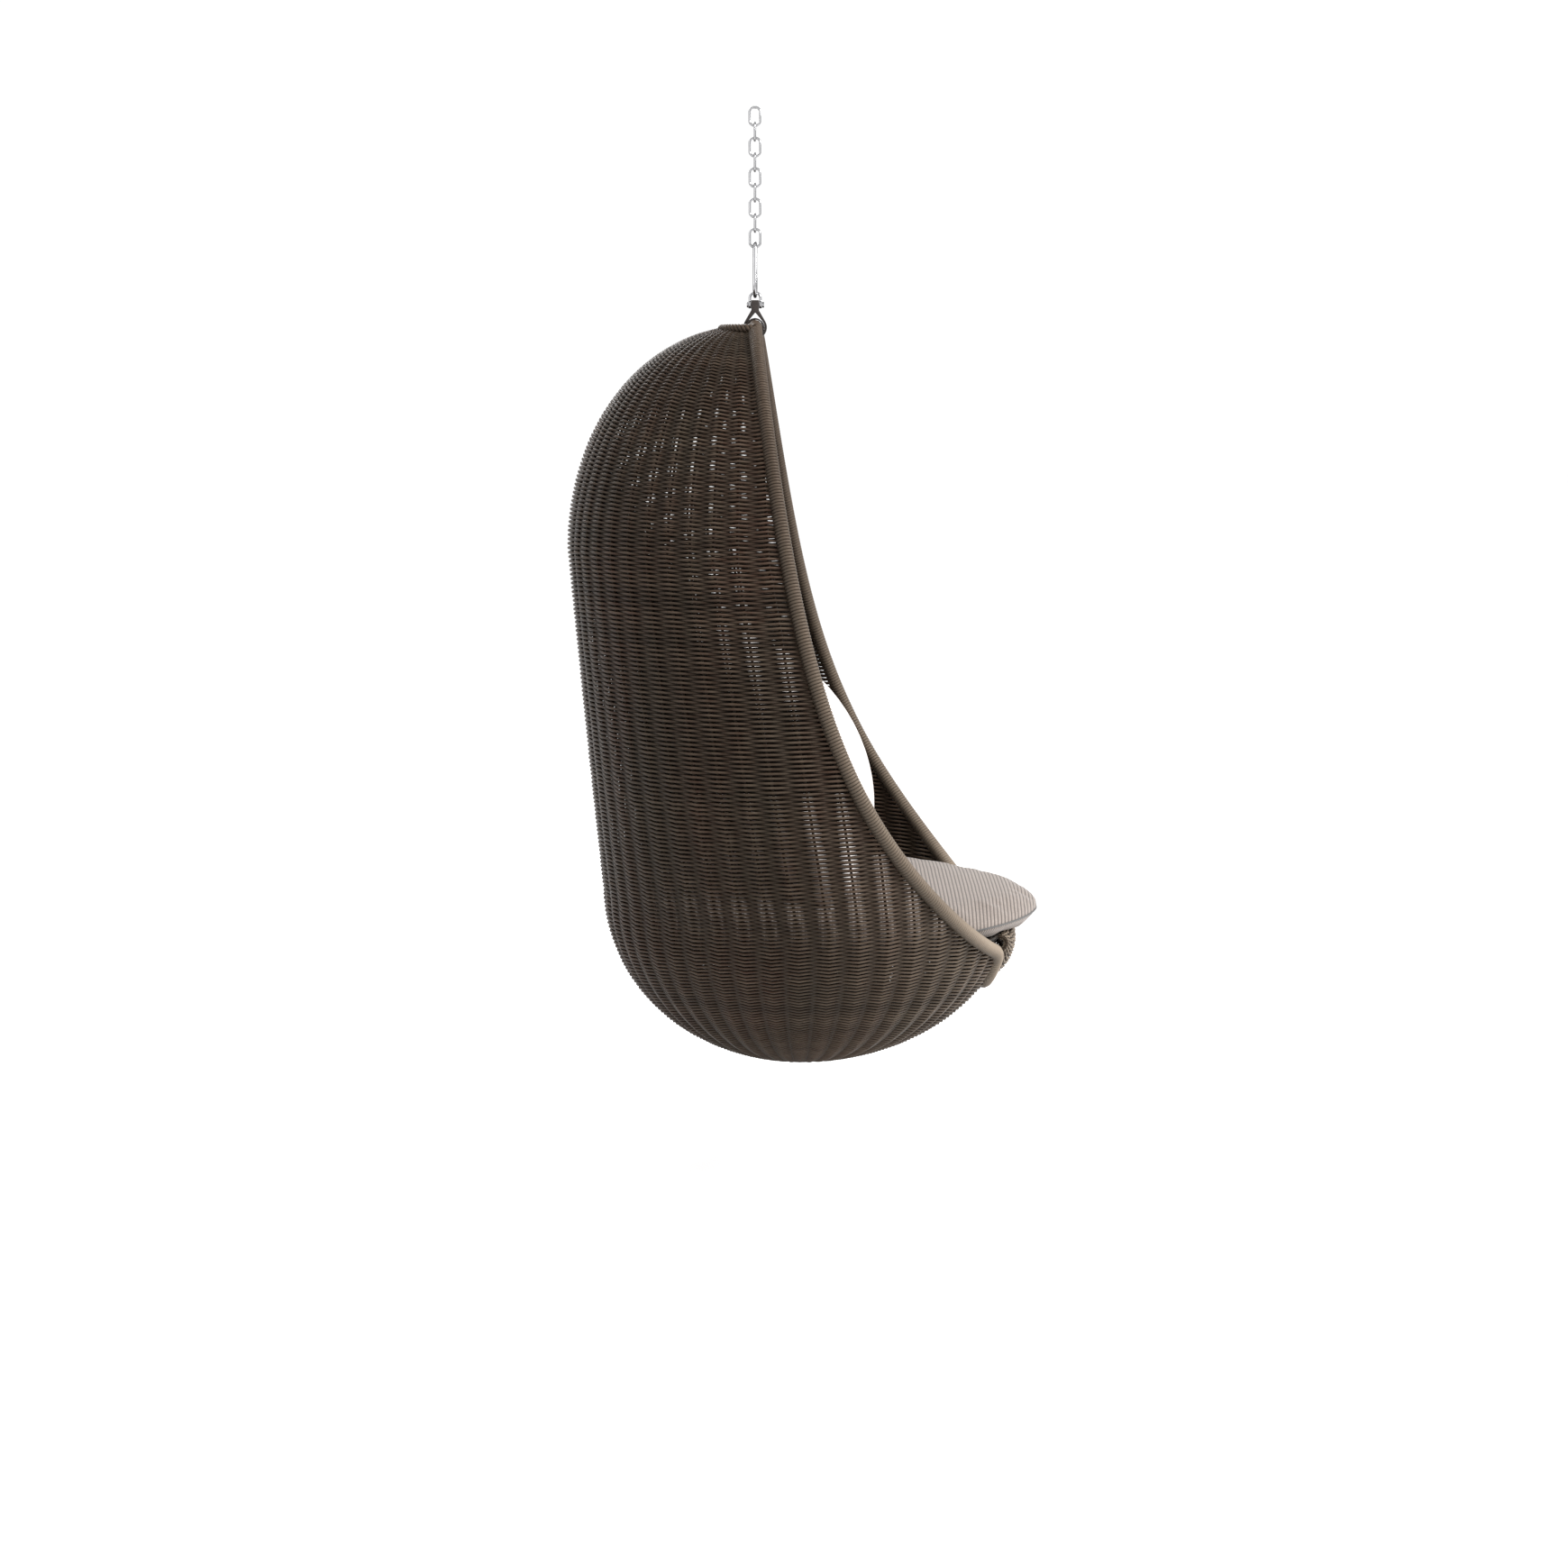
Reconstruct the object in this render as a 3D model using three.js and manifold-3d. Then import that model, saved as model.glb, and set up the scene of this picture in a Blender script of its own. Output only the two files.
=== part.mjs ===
// Hanging woven pod chair: an egg-shaped basket shell cut open by a wrapped tube rim,
// hung from a strap, a shackle, a carabiner and a short length of chain.
// Millimetres, +Z up, +X towards the sitter's knees. The origin is where a hook bears
// on the inside of the top chain link.

import * as THREE from 'three';
import { mergeVertices } from 'three/addons/utils/BufferGeometryUtils.js';
import Module from 'manifold-3d';

const wasm = await Module();
wasm.setup();

// Fits
const fitGap = 0.3; // between pieces that bear on each other
const softGap = 2; // round a soft piece
const overrun = 40; // how far a cutting body passes the faces it cuts
const weldDistance = 1e-4; // corners closer than this are one

// Chain
const linkCount = 9;
const linkWire = 4;
const linkLength = 32.3;
const linkWidth = 21;
const linkEndFlat = 7;
const linkCorner = 1.5;

// Carabiner
const carabinerWire = 7;
const carabinerLength = 91.3;
const carabinerTopRadius = 11;
const carabinerBottomRadius = 19;
const gateStart = 15; // from the lower arc's centre up to the gate's pivot
const gateLength = 32;
const gateDiameter = 6.4;
const gateTongueThickness = 2.6;
const gateTongueLength = 6;
const gatePinDiameter = 2;

// Shackle
const shackleWire = 4.5;
const shackleInside = 13;
const shackleReach = 20; // bow's centreline to pin's centre
const shackleEyeDiameter = 12;
const shacklePinDiameter = 5;
const pinHeadDiameter = 9;
const pinHeadThickness = 2.4;
const nutAcross = 9;
const nutThickness = 3.4;

// Hanging strap and the sleeve that it bears on
const strapThickness = 3.6;
const strapWidth = 24;
const strapStack = 12; // its stitched layers, measured along the pin
const strapReach = 36.2; // pin's centre to rim's centre
const strapTop = 7.3; // stack's top above the pin's centre
const strapFork = 24; // rim's centre up to where the two legs part
const strapEase = 0.6;
const sleeveThickness = 2.4;
const sleeveLength = 34;

// Rim: a bent tube, wrapped all along
const rimDiameter = 24;
const wrapThickness = 2.6;
const rimAimBelowDeck = 43; // where its long side curve would run out past the corner
const rimAimInset = 6.4; // of that place, from the egg's front
const rimCornerShare = 0.015; // of the long curve, from its aim back to the corner
const rimRailBelowDeck = 106;
const rimSinkTop = 4; // how far the rim's centreline lies inside the egg's skin
const rimSinkFront = 2;
const rimHandleXShares = [0.188, 0.281];
const rimHandleDropShares = [0.543, 0.708];
const rimCrowding = 1.3; // brings the stations closer together towards the top

// Egg: level sections, each half an ellipse behind its centre and half before it
const halfWidth = 425;
const widestDrop = 707;
const crownPower = 1.3;
const crownSetback = 20;
const domeDrop = 365;
const domeDepth = 292;
const bowlDrop = 940;
const bowlCentre = 75;
const bowlBack = 335;
const bowlFront = 372;
const bowlDepth = 302;
const weaveThickness = 7.5;
const mouthSetback = 10; // shell's edge behind the rim's centreline
const stakeRidge = 3;
const stakeCount = 48;

// Ring that gathers the stakes behind the top of the rim
const ringRadius = 54;
const ringTube = 16;
const ringSink = 8;

// Seat. A rail's place is a share of the way from the level's centre to its wall.
const deckBelowBowl = 57;
const deckThickness = 5;
const noseHalf = 128;
const lipBulge = 16;
const lipThickness = 7;
const lipHandleShare = 0.25; // of the lip's fall, from its foot up
const railDiameter = 14;
const railShares = { rear: -0.707, middle: -0.173, front: 0.324 };
const noseBarDiameter = 12;
const noseBarInset = 16;
const deckDrop = bowlDrop + deckBelowBowl;
const rimRailDrop = deckDrop + rimRailBelowDeck;

// Seat cushion, set out from the wall round the deck
const cushionSideGap = 15.4;
const cushionBackGap = 9.2;
const cushionOverhang = 48.5;
const cushionSetback = 15; // its widest line behind the level's centre
const cushionHeight = 58;
const cushionFrontPower = 1.75;
const cushionSpreadShares = [0, 0.72, 0.93, 0.985, 1, 0.975, 0.88, 0.66, 0.36, 0];
const cushionRiseShares = [0, 0, 0.03, 0.14, 0.28, 0.44, 0.68, 0.87, 0.97, 1];

// Back pillow: its middle sheet bends from the seat cushion back towards the shell
const pillowHalf = 238;
const pillowThickness = 232;
const pillowFoot = { x: 124, rise: 50 };
const pillowBend = { x: 86, rise: 350 };
const pillowTop = { x: -222, rise: 448 };
const pillowDrawIn = 20;
const pillowCrownPower = 0.6;

// Facets
const tubeSides = 8;
const fineSides = 10;
const linkSides = 8;
const sleeveSides = 16;
const shellRows = 25;
const rimCurveSteps = 27;
const rimBendSteps = 3;
const rimRailSteps = 5;
const outlineSteps = 24;
const strapArcSteps = 10;

const lerp = THREE.MathUtils.lerp;

// Finishes
function finish(color, roughness, metalness) {
  return new THREE.MeshStandardMaterial({ color, roughness, metalness });
}

const finishes = {
  chrome: () => finish(0xd4d6d8, 0.12, 1),
  leather: () => finish(0x2c211c, 0.7, 0),
  tube: () => finish(0x9a9a98, 0.45, 0.9),
  wrap: () => finish(0x85766a, 0.6, 0),
  weave: () => finish(0x4a403a, 0.6, 0),
  cushion: () => finish(0xb5aaa2, 0.9, 0),
  pillow: () => finish(0xe9e5e3, 0.92, 0),
};

// Solids from triangles. Corners that coincide are merged, and triangles that
// collapse with them are dropped. A body that came out inside out is turned round.
function solidFromTriangles(corners) {
  const loose = new THREE.BufferGeometry();
  const places = corners.flatMap((p) => [p.x, p.y, p.z]);
  loose.setAttribute('position', new THREE.Float32BufferAttribute(places, 3));
  const merged = mergeVertices(loose, weldDistance);
  const index = merged.getIndex().array;
  const kept = [];
  for (let i = 0; i < index.length; i += 3) {
    const [a, b, c] = [index[i], index[i + 1], index[i + 2]];
    if (a !== b && b !== c && c !== a) {
      kept.push(a, b, c);
    }
  }
  if (signedVolume(merged.getAttribute('position'), kept) < 0) {
    kept.reverse();
  }
  merged.setIndex(kept);
  return merged;
}

function signedVolume(place, index) {
  const [a, b, c] = [new THREE.Vector3(), new THREE.Vector3(), new THREE.Vector3()];
  let sum = 0;
  for (let i = 0; i < index.length; i += 3) {
    a.fromBufferAttribute(place, index[i]);
    b.fromBufferAttribute(place, index[i + 1]);
    c.fromBufferAttribute(place, index[i + 2]);
    sum += a.dot(b.cross(c));
  }
  return sum / 6;
}

function addQuad(corners, a, b, c, d) {
  corners.push(a, b, c, a, c, d);
}

// Joins rings of equal length into a skin, each ring closed on itself.
function joinRings(corners, rings) {
  for (let i = 0; i + 1 < rings.length; i++) {
    const [low, high] = [rings[i], rings[i + 1]];
    for (let k = 0; k < low.length; k++) {
      const next = (k + 1) % low.length;
      addQuad(corners, low[k], low[next], high[next], high[k]);
    }
  }
}

// A stack of rings whose first and last are single points, or are capped.
function loftedSolid(rings) {
  const corners = [];
  joinRings(corners, rings);
  for (const [ring, turn] of [[rings[0], true], [rings[rings.length - 1], false]]) {
    const middle = ring.reduce((sum, p) => sum.add(p), new THREE.Vector3()).divideScalar(ring.length);
    for (let k = 0; k < ring.length; k++) {
      const [a, b] = [ring[k], ring[(k + 1) % ring.length]];
      corners.push(...(turn ? [middle, b, a] : [middle, a, b]));
    }
  }
  return solidFromTriangles(corners);
}

// Two sheets of points, equal in count, closed along their four edges.
function sheetSolid(front, back) {
  const corners = [];
  const [rows, columns] = [front.length, front[0].length];
  for (let i = 0; i + 1 < rows; i++) {
    for (let k = 0; k + 1 < columns; k++) {
      addQuad(corners, front[i][k], front[i][k + 1], front[i + 1][k + 1], front[i + 1][k]);
      addQuad(corners, back[i][k], back[i + 1][k], back[i + 1][k + 1], back[i][k + 1]);
    }
  }
  for (let k = 0; k + 1 < columns; k++) {
    const last = rows - 1;
    addQuad(corners, front[0][k], back[0][k], back[0][k + 1], front[0][k + 1]);
    addQuad(corners, front[last][k], front[last][k + 1], back[last][k + 1], back[last][k]);
  }
  for (let i = 0; i + 1 < rows; i++) {
    const last = columns - 1;
    addQuad(corners, front[i][0], front[i + 1][0], back[i + 1][0], back[i][0]);
    addQuad(corners, front[i][last], back[i][last], back[i + 1][last], front[i + 1][last]);
  }
  return solidFromTriangles(corners);
}

// A path through stations, which lie closer together where it bends more. It is taken
// station by station, and not by its length.
class StationPath extends THREE.Curve {
  constructor(stations, closed) {
    super();
    this.stations = stations;
    this.closed = closed;
  }

  getPoint(t, target = new THREE.Vector3()) {
    const spans = this.stations.length - (this.closed ? 0 : 1);
    const place = t * spans;
    const i = Math.min(Math.floor(place), spans - 1);
    const next = this.stations[(i + 1) % this.stations.length];
    return target.lerpVectors(this.stations[i], next, place - i);
  }

  getTangent(t, target = new THREE.Vector3()) {
    const step = 1e-3 / this.stations.length;
    const before = this.closed ? (t + 1 - step) % 1 : Math.max(t - step, 0);
    const after = this.closed ? (t + step) % 1 : Math.min(t + step, 1);
    return target.copy(this.getPoint(after)).sub(this.getPoint(before)).normalize();
  }

  getPointAt(share, target) {
    return this.getPoint(share, target);
  }

  getTangentAt(share, target) {
    return this.getTangent(share, target);
  }
}

function polygon(diameter, sides) {
  const corners = [];
  for (let i = 0; i < sides; i++) {
    const turn = (2 * Math.PI * i) / sides;
    corners.push(new THREE.Vector2(Math.cos(turn), Math.sin(turn)).multiplyScalar(diameter / 2));
  }
  return new THREE.Shape(corners);
}

function openTube(stations, diameter, sides) {
  const extrudePath = new StationPath(stations, false);
  return new THREE.ExtrudeGeometry(polygon(diameter, sides), { steps: stations.length - 1, extrudePath });
}

function closedTube(stations, diameter, sides) {
  return new THREE.TubeGeometry(new StationPath(stations, true), stations.length, diameter / 2, sides, true);
}

// Across the corners of a faceted bore whose flats clear a round of this diameter
function overFlats(diameter, sides) {
  return diameter / Math.cos(Math.PI / sides);
}

// Across the corners of a faceted rod that clears the flats of a bore
function insideFlats(diameter, sides) {
  return diameter * Math.cos(Math.PI / sides);
}

function rod(diameter, length, sides, axis) {
  const body = new THREE.CylinderGeometry(diameter / 2, diameter / 2, length, sides);
  if (axis === 'x') {
    body.rotateZ(Math.PI / 2);
  }
  if (axis === 'z') {
    body.rotateX(Math.PI / 2);
  }
  return body;
}

// Extrudes an outline drawn in x and z, centred on the XZ plane.
function extrudedAlongY(shape, width) {
  const options = { depth: width, bevelEnabled: false, curveSegments: strapArcSteps };
  const body = new THREE.ExtrudeGeometry(shape, options);
  body.rotateX(Math.PI / 2);
  body.translate(0, width / 2, 0);
  return body;
}

// Joins and cuts
function toManifold(geometry) {
  const bare = geometry.clone();
  bare.deleteAttribute('normal');
  bare.deleteAttribute('uv');
  const merged = mergeVertices(bare, weldDistance);
  return new wasm.Manifold(new wasm.Mesh({
    numProp: 3,
    vertProperties: new Float32Array(merged.getAttribute('position').array),
    triVerts: new Uint32Array(merged.getIndex().array),
  }));
}

function fromManifold(solid) {
  const mesh = solid.getMesh();
  const geometry = new THREE.BufferGeometry();
  geometry.setAttribute('position', new THREE.Float32BufferAttribute(mesh.vertProperties, 3));
  geometry.setIndex([...mesh.triVerts]);
  return geometry;
}

function cut(body, ...tools) {
  return fromManifold(tools.reduce((left, tool) => left.subtract(toManifold(tool)), toManifold(body)));
}

function shared(one, other) {
  return fromManifold(toManifold(one).intersect(toManifold(other)));
}

function join(...bodies) {
  return fromManifold(bodies.map(toManifold).reduce((sum, next) => sum.add(next)));
}

// Heights of the hanging gear, from the hook's bearing down
const linkSpan = linkLength - linkWire;
const linkTops = [];
for (let i = 0, top = linkWire / 2; i < linkCount; i++) {
  linkTops.push(top);
  top += linkWire + fitGap - linkSpan;
}
const chainEnd = linkTops[linkCount - 1] - linkSpan;
const carabinerSpan = carabinerLength - carabinerWire;
const carabinerTopZ = chainEnd + linkWire / 2 + fitGap + carabinerWire / 2;
const carabinerBottomZ = carabinerTopZ - carabinerSpan;
const bowZ = carabinerBottomZ + carabinerWire / 2 + fitGap + shackleWire / 2;
const pinZ = bowZ - shackleReach;
const rimZ = pinZ - strapReach;

// Chain link: round wire bent to a rectangle whose corners are cut off, then rounded
function linkPath() {
  const [side, end, flat] = [(linkWidth - linkWire) / 2, linkSpan / 2, linkEndFlat / 2];
  const shoulder = end - (side - flat);
  const quarter = [[side, shoulder], [flat, end]];
  const corners = [
    ...quarter,
    ...quarter.map(([x, z]) => [-x, z]).reverse(),
    ...quarter.map(([x, z]) => [-x, -z]),
    ...quarter.map(([x, z]) => [x, -z]).reverse(),
  ].map(([x, z]) => new THREE.Vector3(x, 0, z));
  return corners.flatMap((corner, i) => [corners.length - 1, 1].map((step) => {
    const neighbour = corners[(i + step) % corners.length];
    return neighbour.clone().sub(corner).setLength(linkCorner).add(corner);
  }));
}

const linkBody = closedTube(linkPath(), linkWire, linkSides);

// Carabiner, drawn in y and z: a small arc above, a large one below, and the gate
// between two ends of the wire on the side where y is positive
const carabinerArcGap = carabinerSpan - carabinerTopRadius - carabinerBottomRadius;
const carabinerLean = Math.asin((carabinerBottomRadius - carabinerTopRadius) / carabinerArcGap);

function carabinerSide(reach) {
  const low = new THREE.Vector3(
    0,
    carabinerBottomRadius * Math.cos(carabinerLean),
    carabinerBottomRadius + carabinerBottomRadius * Math.sin(carabinerLean),
  );
  const up = new THREE.Vector3(0, -Math.sin(carabinerLean), Math.cos(carabinerLean));
  return low.addScaledVector(up, reach);
}

function carabinerWirePath() {
  const path = [carabinerSide(gateStart - gateTongueLength)];
  const arcs = [
    [carabinerBottomRadius, carabinerBottomRadius, carabinerLean, -Math.PI - carabinerLean],
    [carabinerTopRadius, carabinerSpan - carabinerTopRadius, Math.PI - carabinerLean, carabinerLean],
  ];
  for (const [radius, height, from, to] of arcs) {
    for (let i = 0; i <= outlineSteps / 2; i++) {
      const turn = lerp(from, to, (2 * i) / outlineSteps);
      path.push(new THREE.Vector3(0, radius * Math.cos(turn), height + radius * Math.sin(turn)));
    }
  }
  path.push(carabinerSide(gateStart + gateLength + fitGap));
  return path;
}

// The gate's own frame: z along it from its pivot, y outwards
function placeOnGate(object) {
  object.position.copy(carabinerSide(gateStart));
  object.rotation.x = carabinerLean;
  return object;
}

function onGateLine(body) {
  body.rotateX(carabinerLean);
  const at = carabinerSide(gateStart);
  body.translate(at.x, at.y, at.z);
  return body;
}

function carabinerBody() {
  const wire = openTube(carabinerWirePath(), carabinerWire, fineSides);
  const tongueWidth = gateDiameter - 2 * fitGap;
  const blade = new THREE.BoxGeometry(gateTongueThickness, tongueWidth, 2 * gateTongueLength);
  blade.translate(0, 0, -gateTongueLength);
  const tip = rod(tongueWidth, gateTongueThickness, fineSides, 'x');
  const hole = rod(gatePinDiameter + 2 * fitGap, 2 * carabinerWire, fineSides, 'x');
  return cut(join(wire, onGateLine(blade), onGateLine(tip)), onGateLine(hole));
}

function carabinerGate() {
  const heel = gateTongueLength / 2;
  const stem = rod(gateDiameter, gateLength + heel, fineSides, 'z');
  stem.translate(0, 0, (gateLength - heel) / 2);
  const slotWidth = gateTongueThickness + 2 * fitGap;
  const slotLength = 2 * (gateTongueLength + fitGap);
  const slot = new THREE.BoxGeometry(slotWidth, 2 * gateDiameter, slotLength);
  const hole = rod(gatePinDiameter + 2 * fitGap, 2 * gateDiameter, fineSides, 'x');
  return cut(stem, slot, hole);
}

// Shackle: a bow over two eyes, with a headed pin and a nut
const legX = (shackleInside + shackleWire) / 2;

function shackleBody() {
  const path = [new THREE.Vector3(-legX, 0, 0)];
  for (let i = 0; i <= outlineSteps / 2; i++) {
    const turn = Math.PI * (1 - (2 * i) / outlineSteps);
    path.push(new THREE.Vector3(legX * Math.cos(turn), 0, shackleReach - legX + legX * Math.sin(turn)));
  }
  path.push(new THREE.Vector3(legX, 0, 0));
  const bow = openTube(path, shackleWire, fineSides);
  const eyes = [-legX, legX].map((x) => rod(shackleEyeDiameter, shackleWire, 2 * tubeSides, 'x').translate(x, 0, 0));
  const bore = rod(shacklePinDiameter + 2 * fitGap, 4 * legX, fineSides, 'x');
  return cut(join(bow, ...eyes), bore);
}

function shacklePin() {
  const outer = legX + shackleWire / 2;
  const length = 2 * outer + nutThickness + 2 * fitGap;
  const shaft = rod(shacklePinDiameter, length, fineSides, 'x');
  shaft.translate(length / 2 - outer - fitGap, 0, 0);
  const head = rod(pinHeadDiameter, pinHeadThickness, 2 * tubeSides, 'x');
  head.translate(-outer - fitGap - pinHeadThickness / 2, 0, 0);
  return join(shaft, head);
}

function shackleNut() {
  const nut = rod(nutAcross, nutThickness, 6, 'x');
  nut.translate(legX + shackleWire / 2 + fitGap + nutThickness / 2, 0, 0);
  return cut(nut, rod(shacklePinDiameter + 2 * fitGap, 4 * legX, fineSides, 'x'));
}

const sleeveBore = overFlats(rimDiameter + 2 * fitGap, sleeveSides);
const sleeveDiameter = sleeveBore + 2 * sleeveThickness;

// Strap, drawn in x and z about the rim's centre: a loop under the rim whose two ends
// are stitched together above it and bored for the shackle's pin
function strapBody() {
  const inner = sleeveDiameter / 2 + strapEase;
  const outer = inner + strapThickness;
  const half = strapStack / 2;
  const neck = strapFork + strapThickness;
  const lean = Math.atan2(half, neck) + Math.acos(outer / Math.hypot(half, neck));
  const shape = new THREE.Shape();
  shape.moveTo(-half, strapReach + strapTop);
  shape.lineTo(-half, neck);
  shape.absarc(0, 0, outer, Math.PI / 2 + lean, Math.PI / 2 - lean, false);
  shape.lineTo(half, neck);
  shape.lineTo(half, strapReach + strapTop);
  const innerLean = Math.acos(inner / strapFork);
  const eye = new THREE.Path();
  eye.absarc(0, 0, inner, Math.PI / 2 + innerLean, Math.PI / 2 - innerLean, false);
  eye.lineTo(0, strapFork);
  shape.holes.push(eye);
  const bore = rod(shacklePinDiameter + 2 * fitGap, 4 * strapStack, fineSides, 'x');
  bore.translate(0, 0, strapReach);
  return cut(extrudedAlongY(shape, strapWidth), bore);
}

// Egg sections. The inset gives the same egg shrunk by that much on every side, so it
// also gives the shell's inner wall and the line that the rim's centre follows.
function eggSection(drop, inset) {
  const apex = inset;
  const toBowl = THREE.MathUtils.clamp((drop - domeDrop) / (bowlDrop - domeDrop), 0, 1);
  const centre = lerp(-crownSetback, bowlCentre, toBowl);
  const bowl = Math.sqrt(Math.max(0, 1 - ((drop - bowlDrop) / (bowlDepth - inset)) ** 2));
  const dome = Math.sqrt(Math.max(0, 1 - ((domeDrop - drop) / (domeDrop - apex)) ** 2));
  const rise = Math.sqrt(Math.max(0, 1 - ((bowlDrop - drop) / (bowlDrop - apex)) ** 2));
  let back = lerp(-crownSetback - domeDepth + inset, bowlCentre - bowlBack + inset, toBowl);
  let front = bowlCentre + (bowlFront - inset) * bowl;
  if (drop < domeDrop) {
    back = -crownSetback - (domeDepth - inset) * dome;
  }
  if (drop > bowlDrop) {
    back = bowlCentre - (bowlBack - inset) * bowl;
  } else {
    front = -crownSetback + (bowlCentre + bowlFront - inset + crownSetback) * rise;
  }
  const below = (drop - widestDrop) / (bowlDrop + bowlDepth - inset - widestDrop);
  const above = (widestDrop - drop) / (widestDrop - apex);
  const narrowing = drop > widestDrop ? below ** 2 : Math.max(above, 0) ** crownPower;
  const half = (halfWidth - inset) * Math.sqrt(Math.max(0, 1 - narrowing));
  return { centre, back: centre - back, front: front - centre, half };
}

// Half the egg's width at a place in its side view
function eggHalfAt(x, drop, inset) {
  const section = eggSection(drop, inset);
  const off = x - section.centre;
  const share = off / (off > 0 ? section.front : section.back);
  return section.half * Math.sqrt(Math.max(0, 1 - share ** 2));
}

function rimSink(drop) {
  return lerp(rimSinkTop, rimSinkFront, drop / rimRailDrop);
}

// The rim in side view: one long curve from the top, a tight bend at the front corner,
// and the short rail that dips under the seat's lip to the middle
function rimTopDrop() {
  const reach = bowlCentre + bowlFront - rimSinkTop + crownSetback;
  return bowlDrop - (bowlDrop - rimSinkTop) * Math.sqrt(1 - (crownSetback / reach) ** 2);
}

function rimSideStations() {
  const top = new THREE.Vector2(0, rimTopDrop());
  const aimDrop = deckDrop + rimAimBelowDeck;
  const aimLevel = eggSection(aimDrop, rimAimInset);
  const aim = new THREE.Vector2(aimLevel.centre + aimLevel.front, aimDrop);
  const handles = rimHandleXShares.map((share, i) => (
    new THREE.Vector2(share * aim.x, lerp(top.y, aim.y, rimHandleDropShares[i]))
  ));
  const rail = eggSection(rimRailDrop, rimSinkFront);
  const end = new THREE.Vector2(rail.centre + rail.front, rimRailDrop);
  const long = new THREE.CubicBezierCurve(top, handles[0], handles[1], aim);
  const bendShare = 1 - 2 * rimCornerShare;
  const corner = long.getPoint(1 - rimCornerShare);
  const bendStart = long.getPoint(bendShare);
  const bendEnd = corner.clone().lerp(end, bendStart.distanceTo(corner) / corner.distanceTo(end));
  const bend = new THREE.QuadraticBezierCurve(bendStart, corner, bendEnd);
  const stations = [];
  for (let i = 0; i < rimCurveSteps; i++) {
    stations.push(long.getPoint(bendShare * (i / rimCurveSteps) ** rimCrowding));
  }
  for (let i = 0; i < rimBendSteps; i++) {
    stations.push(bend.getPoint(i / rimBendSteps));
  }
  for (let i = 0; i <= rimRailSteps; i++) {
    stations.push(bendEnd.clone().lerp(end, 1 - (1 - i / rimRailSteps) ** 2));
  }
  return stations;
}

const rimStations = rimSideStations();
const rimHalf = rimStations.map((s) => new THREE.Vector3(s.x, eggHalfAt(s.x, s.y, rimSink(s.y)), -s.y));
rimHalf[0].y = 0;
rimHalf[rimHalf.length - 1].y = 0;
rimHalf.splice(1, 0, rimHalf[0].clone().setY(sleeveLength / 2 + fitGap));
const rimOther = rimHalf.slice(1, -1).reverse().map((p) => new THREE.Vector3(p.x, -p.y, p.z));
const rimLoop = [...rimHalf, ...rimOther];

function rimTube(diameter) {
  return closedTube(rimLoop, diameter, tubeSides);
}

// What a piece that bears on the rim is cut by
function rimRoom(gap) {
  return rimTube(rimDiameter + 2 * gap);
}

// The wrap's two ends meet at a slit under the sleeve.
function rimWrap() {
  const slit = new THREE.BoxGeometry(2 * rimDiameter, 2 * fitGap, 2 * rimDiameter);
  slit.translate(0, 0, rimLoop[0].z);
  return cut(rimTube(rimDiameter), rimTube(rimDiameter - 2 * wrapThickness), slit);
}

function rimCore() {
  return rimTube(insideFlats(rimDiameter - 2 * wrapThickness, tubeSides) - 2 * fitGap);
}

function rimSleeve() {
  const [inner, outer, end] = [sleeveBore / 2, sleeveDiameter / 2, sleeveLength / 2];
  const profile = [[inner, -end], [outer, -end], [outer, end], [inner, end], [inner, -end]];
  const sleeve = new THREE.LatheGeometry(profile.map(([x, y]) => new THREE.Vector2(x, y)), sleeveSides);
  sleeve.translate(0, 0, rimLoop[0].z);
  return sleeve;
}

// Top ring, from one side of the rim round behind it to the other
function topRing() {
  const path = [];
  for (let i = 0; i <= outlineSteps; i++) {
    const turn = Math.PI * (i / outlineSteps - 1 / 2);
    path.push(new THREE.Vector3(-ringRadius * Math.cos(turn), ringRadius * Math.sin(turn), -ringSink));
  }
  return cut(openTube(path, ringTube, tubeSides), rimRoom(fitGap));
}

// Woven shell: an egg with a rib along each stake, hollowed, then opened along the rim
function eggBody(inset, columns, rib) {
  const bottom = bowlDrop + bowlDepth - inset;
  const rings = [];
  for (let i = 0; i <= shellRows; i++) {
    const turn = (Math.PI * i) / shellRows;
    const drop = lerp(inset, bottom, (1 - Math.cos(turn)) / 2);
    const section = eggSection(drop, inset);
    const ring = [];
    for (let k = 0; k < columns; k++) {
      const angle = (2 * Math.PI * k) / columns;
      const raised = k % 2 === 0 ? rib * Math.sin(turn) : 0;
      const reach = Math.cos(angle) > 0 ? section.back : section.front;
      ring.push(new THREE.Vector3(
        section.centre - (reach + raised) * Math.cos(angle),
        (section.half + raised) * Math.sin(angle),
        -drop,
      ));
    }
    rings.push(ring);
  }
  return loftedSolid(rings);
}

function mouthCutter() {
  const end = rimStations[rimStations.length - 1];
  const section = eggSection(end.y, 0);
  const slope = new THREE.Vector2(
    (end.x - section.centre) / bowlFront ** 2,
    (end.y - bowlDrop) / bowlDepth ** 2,
  ).normalize();
  const far = bowlCentre + bowlFront + 2 * overrun;
  const shape = new THREE.Shape();
  shape.moveTo(-mouthSetback, overrun);
  for (const station of rimStations) {
    shape.lineTo(station.x - mouthSetback, -station.y);
  }
  shape.lineTo(end.x - mouthSetback + slope.x * overrun, -end.y - slope.y * overrun);
  shape.lineTo(far, -end.y - slope.y * overrun);
  shape.lineTo(far, overrun);
  return extrudedAlongY(shape, 2 * (halfWidth + overrun));
}

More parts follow.
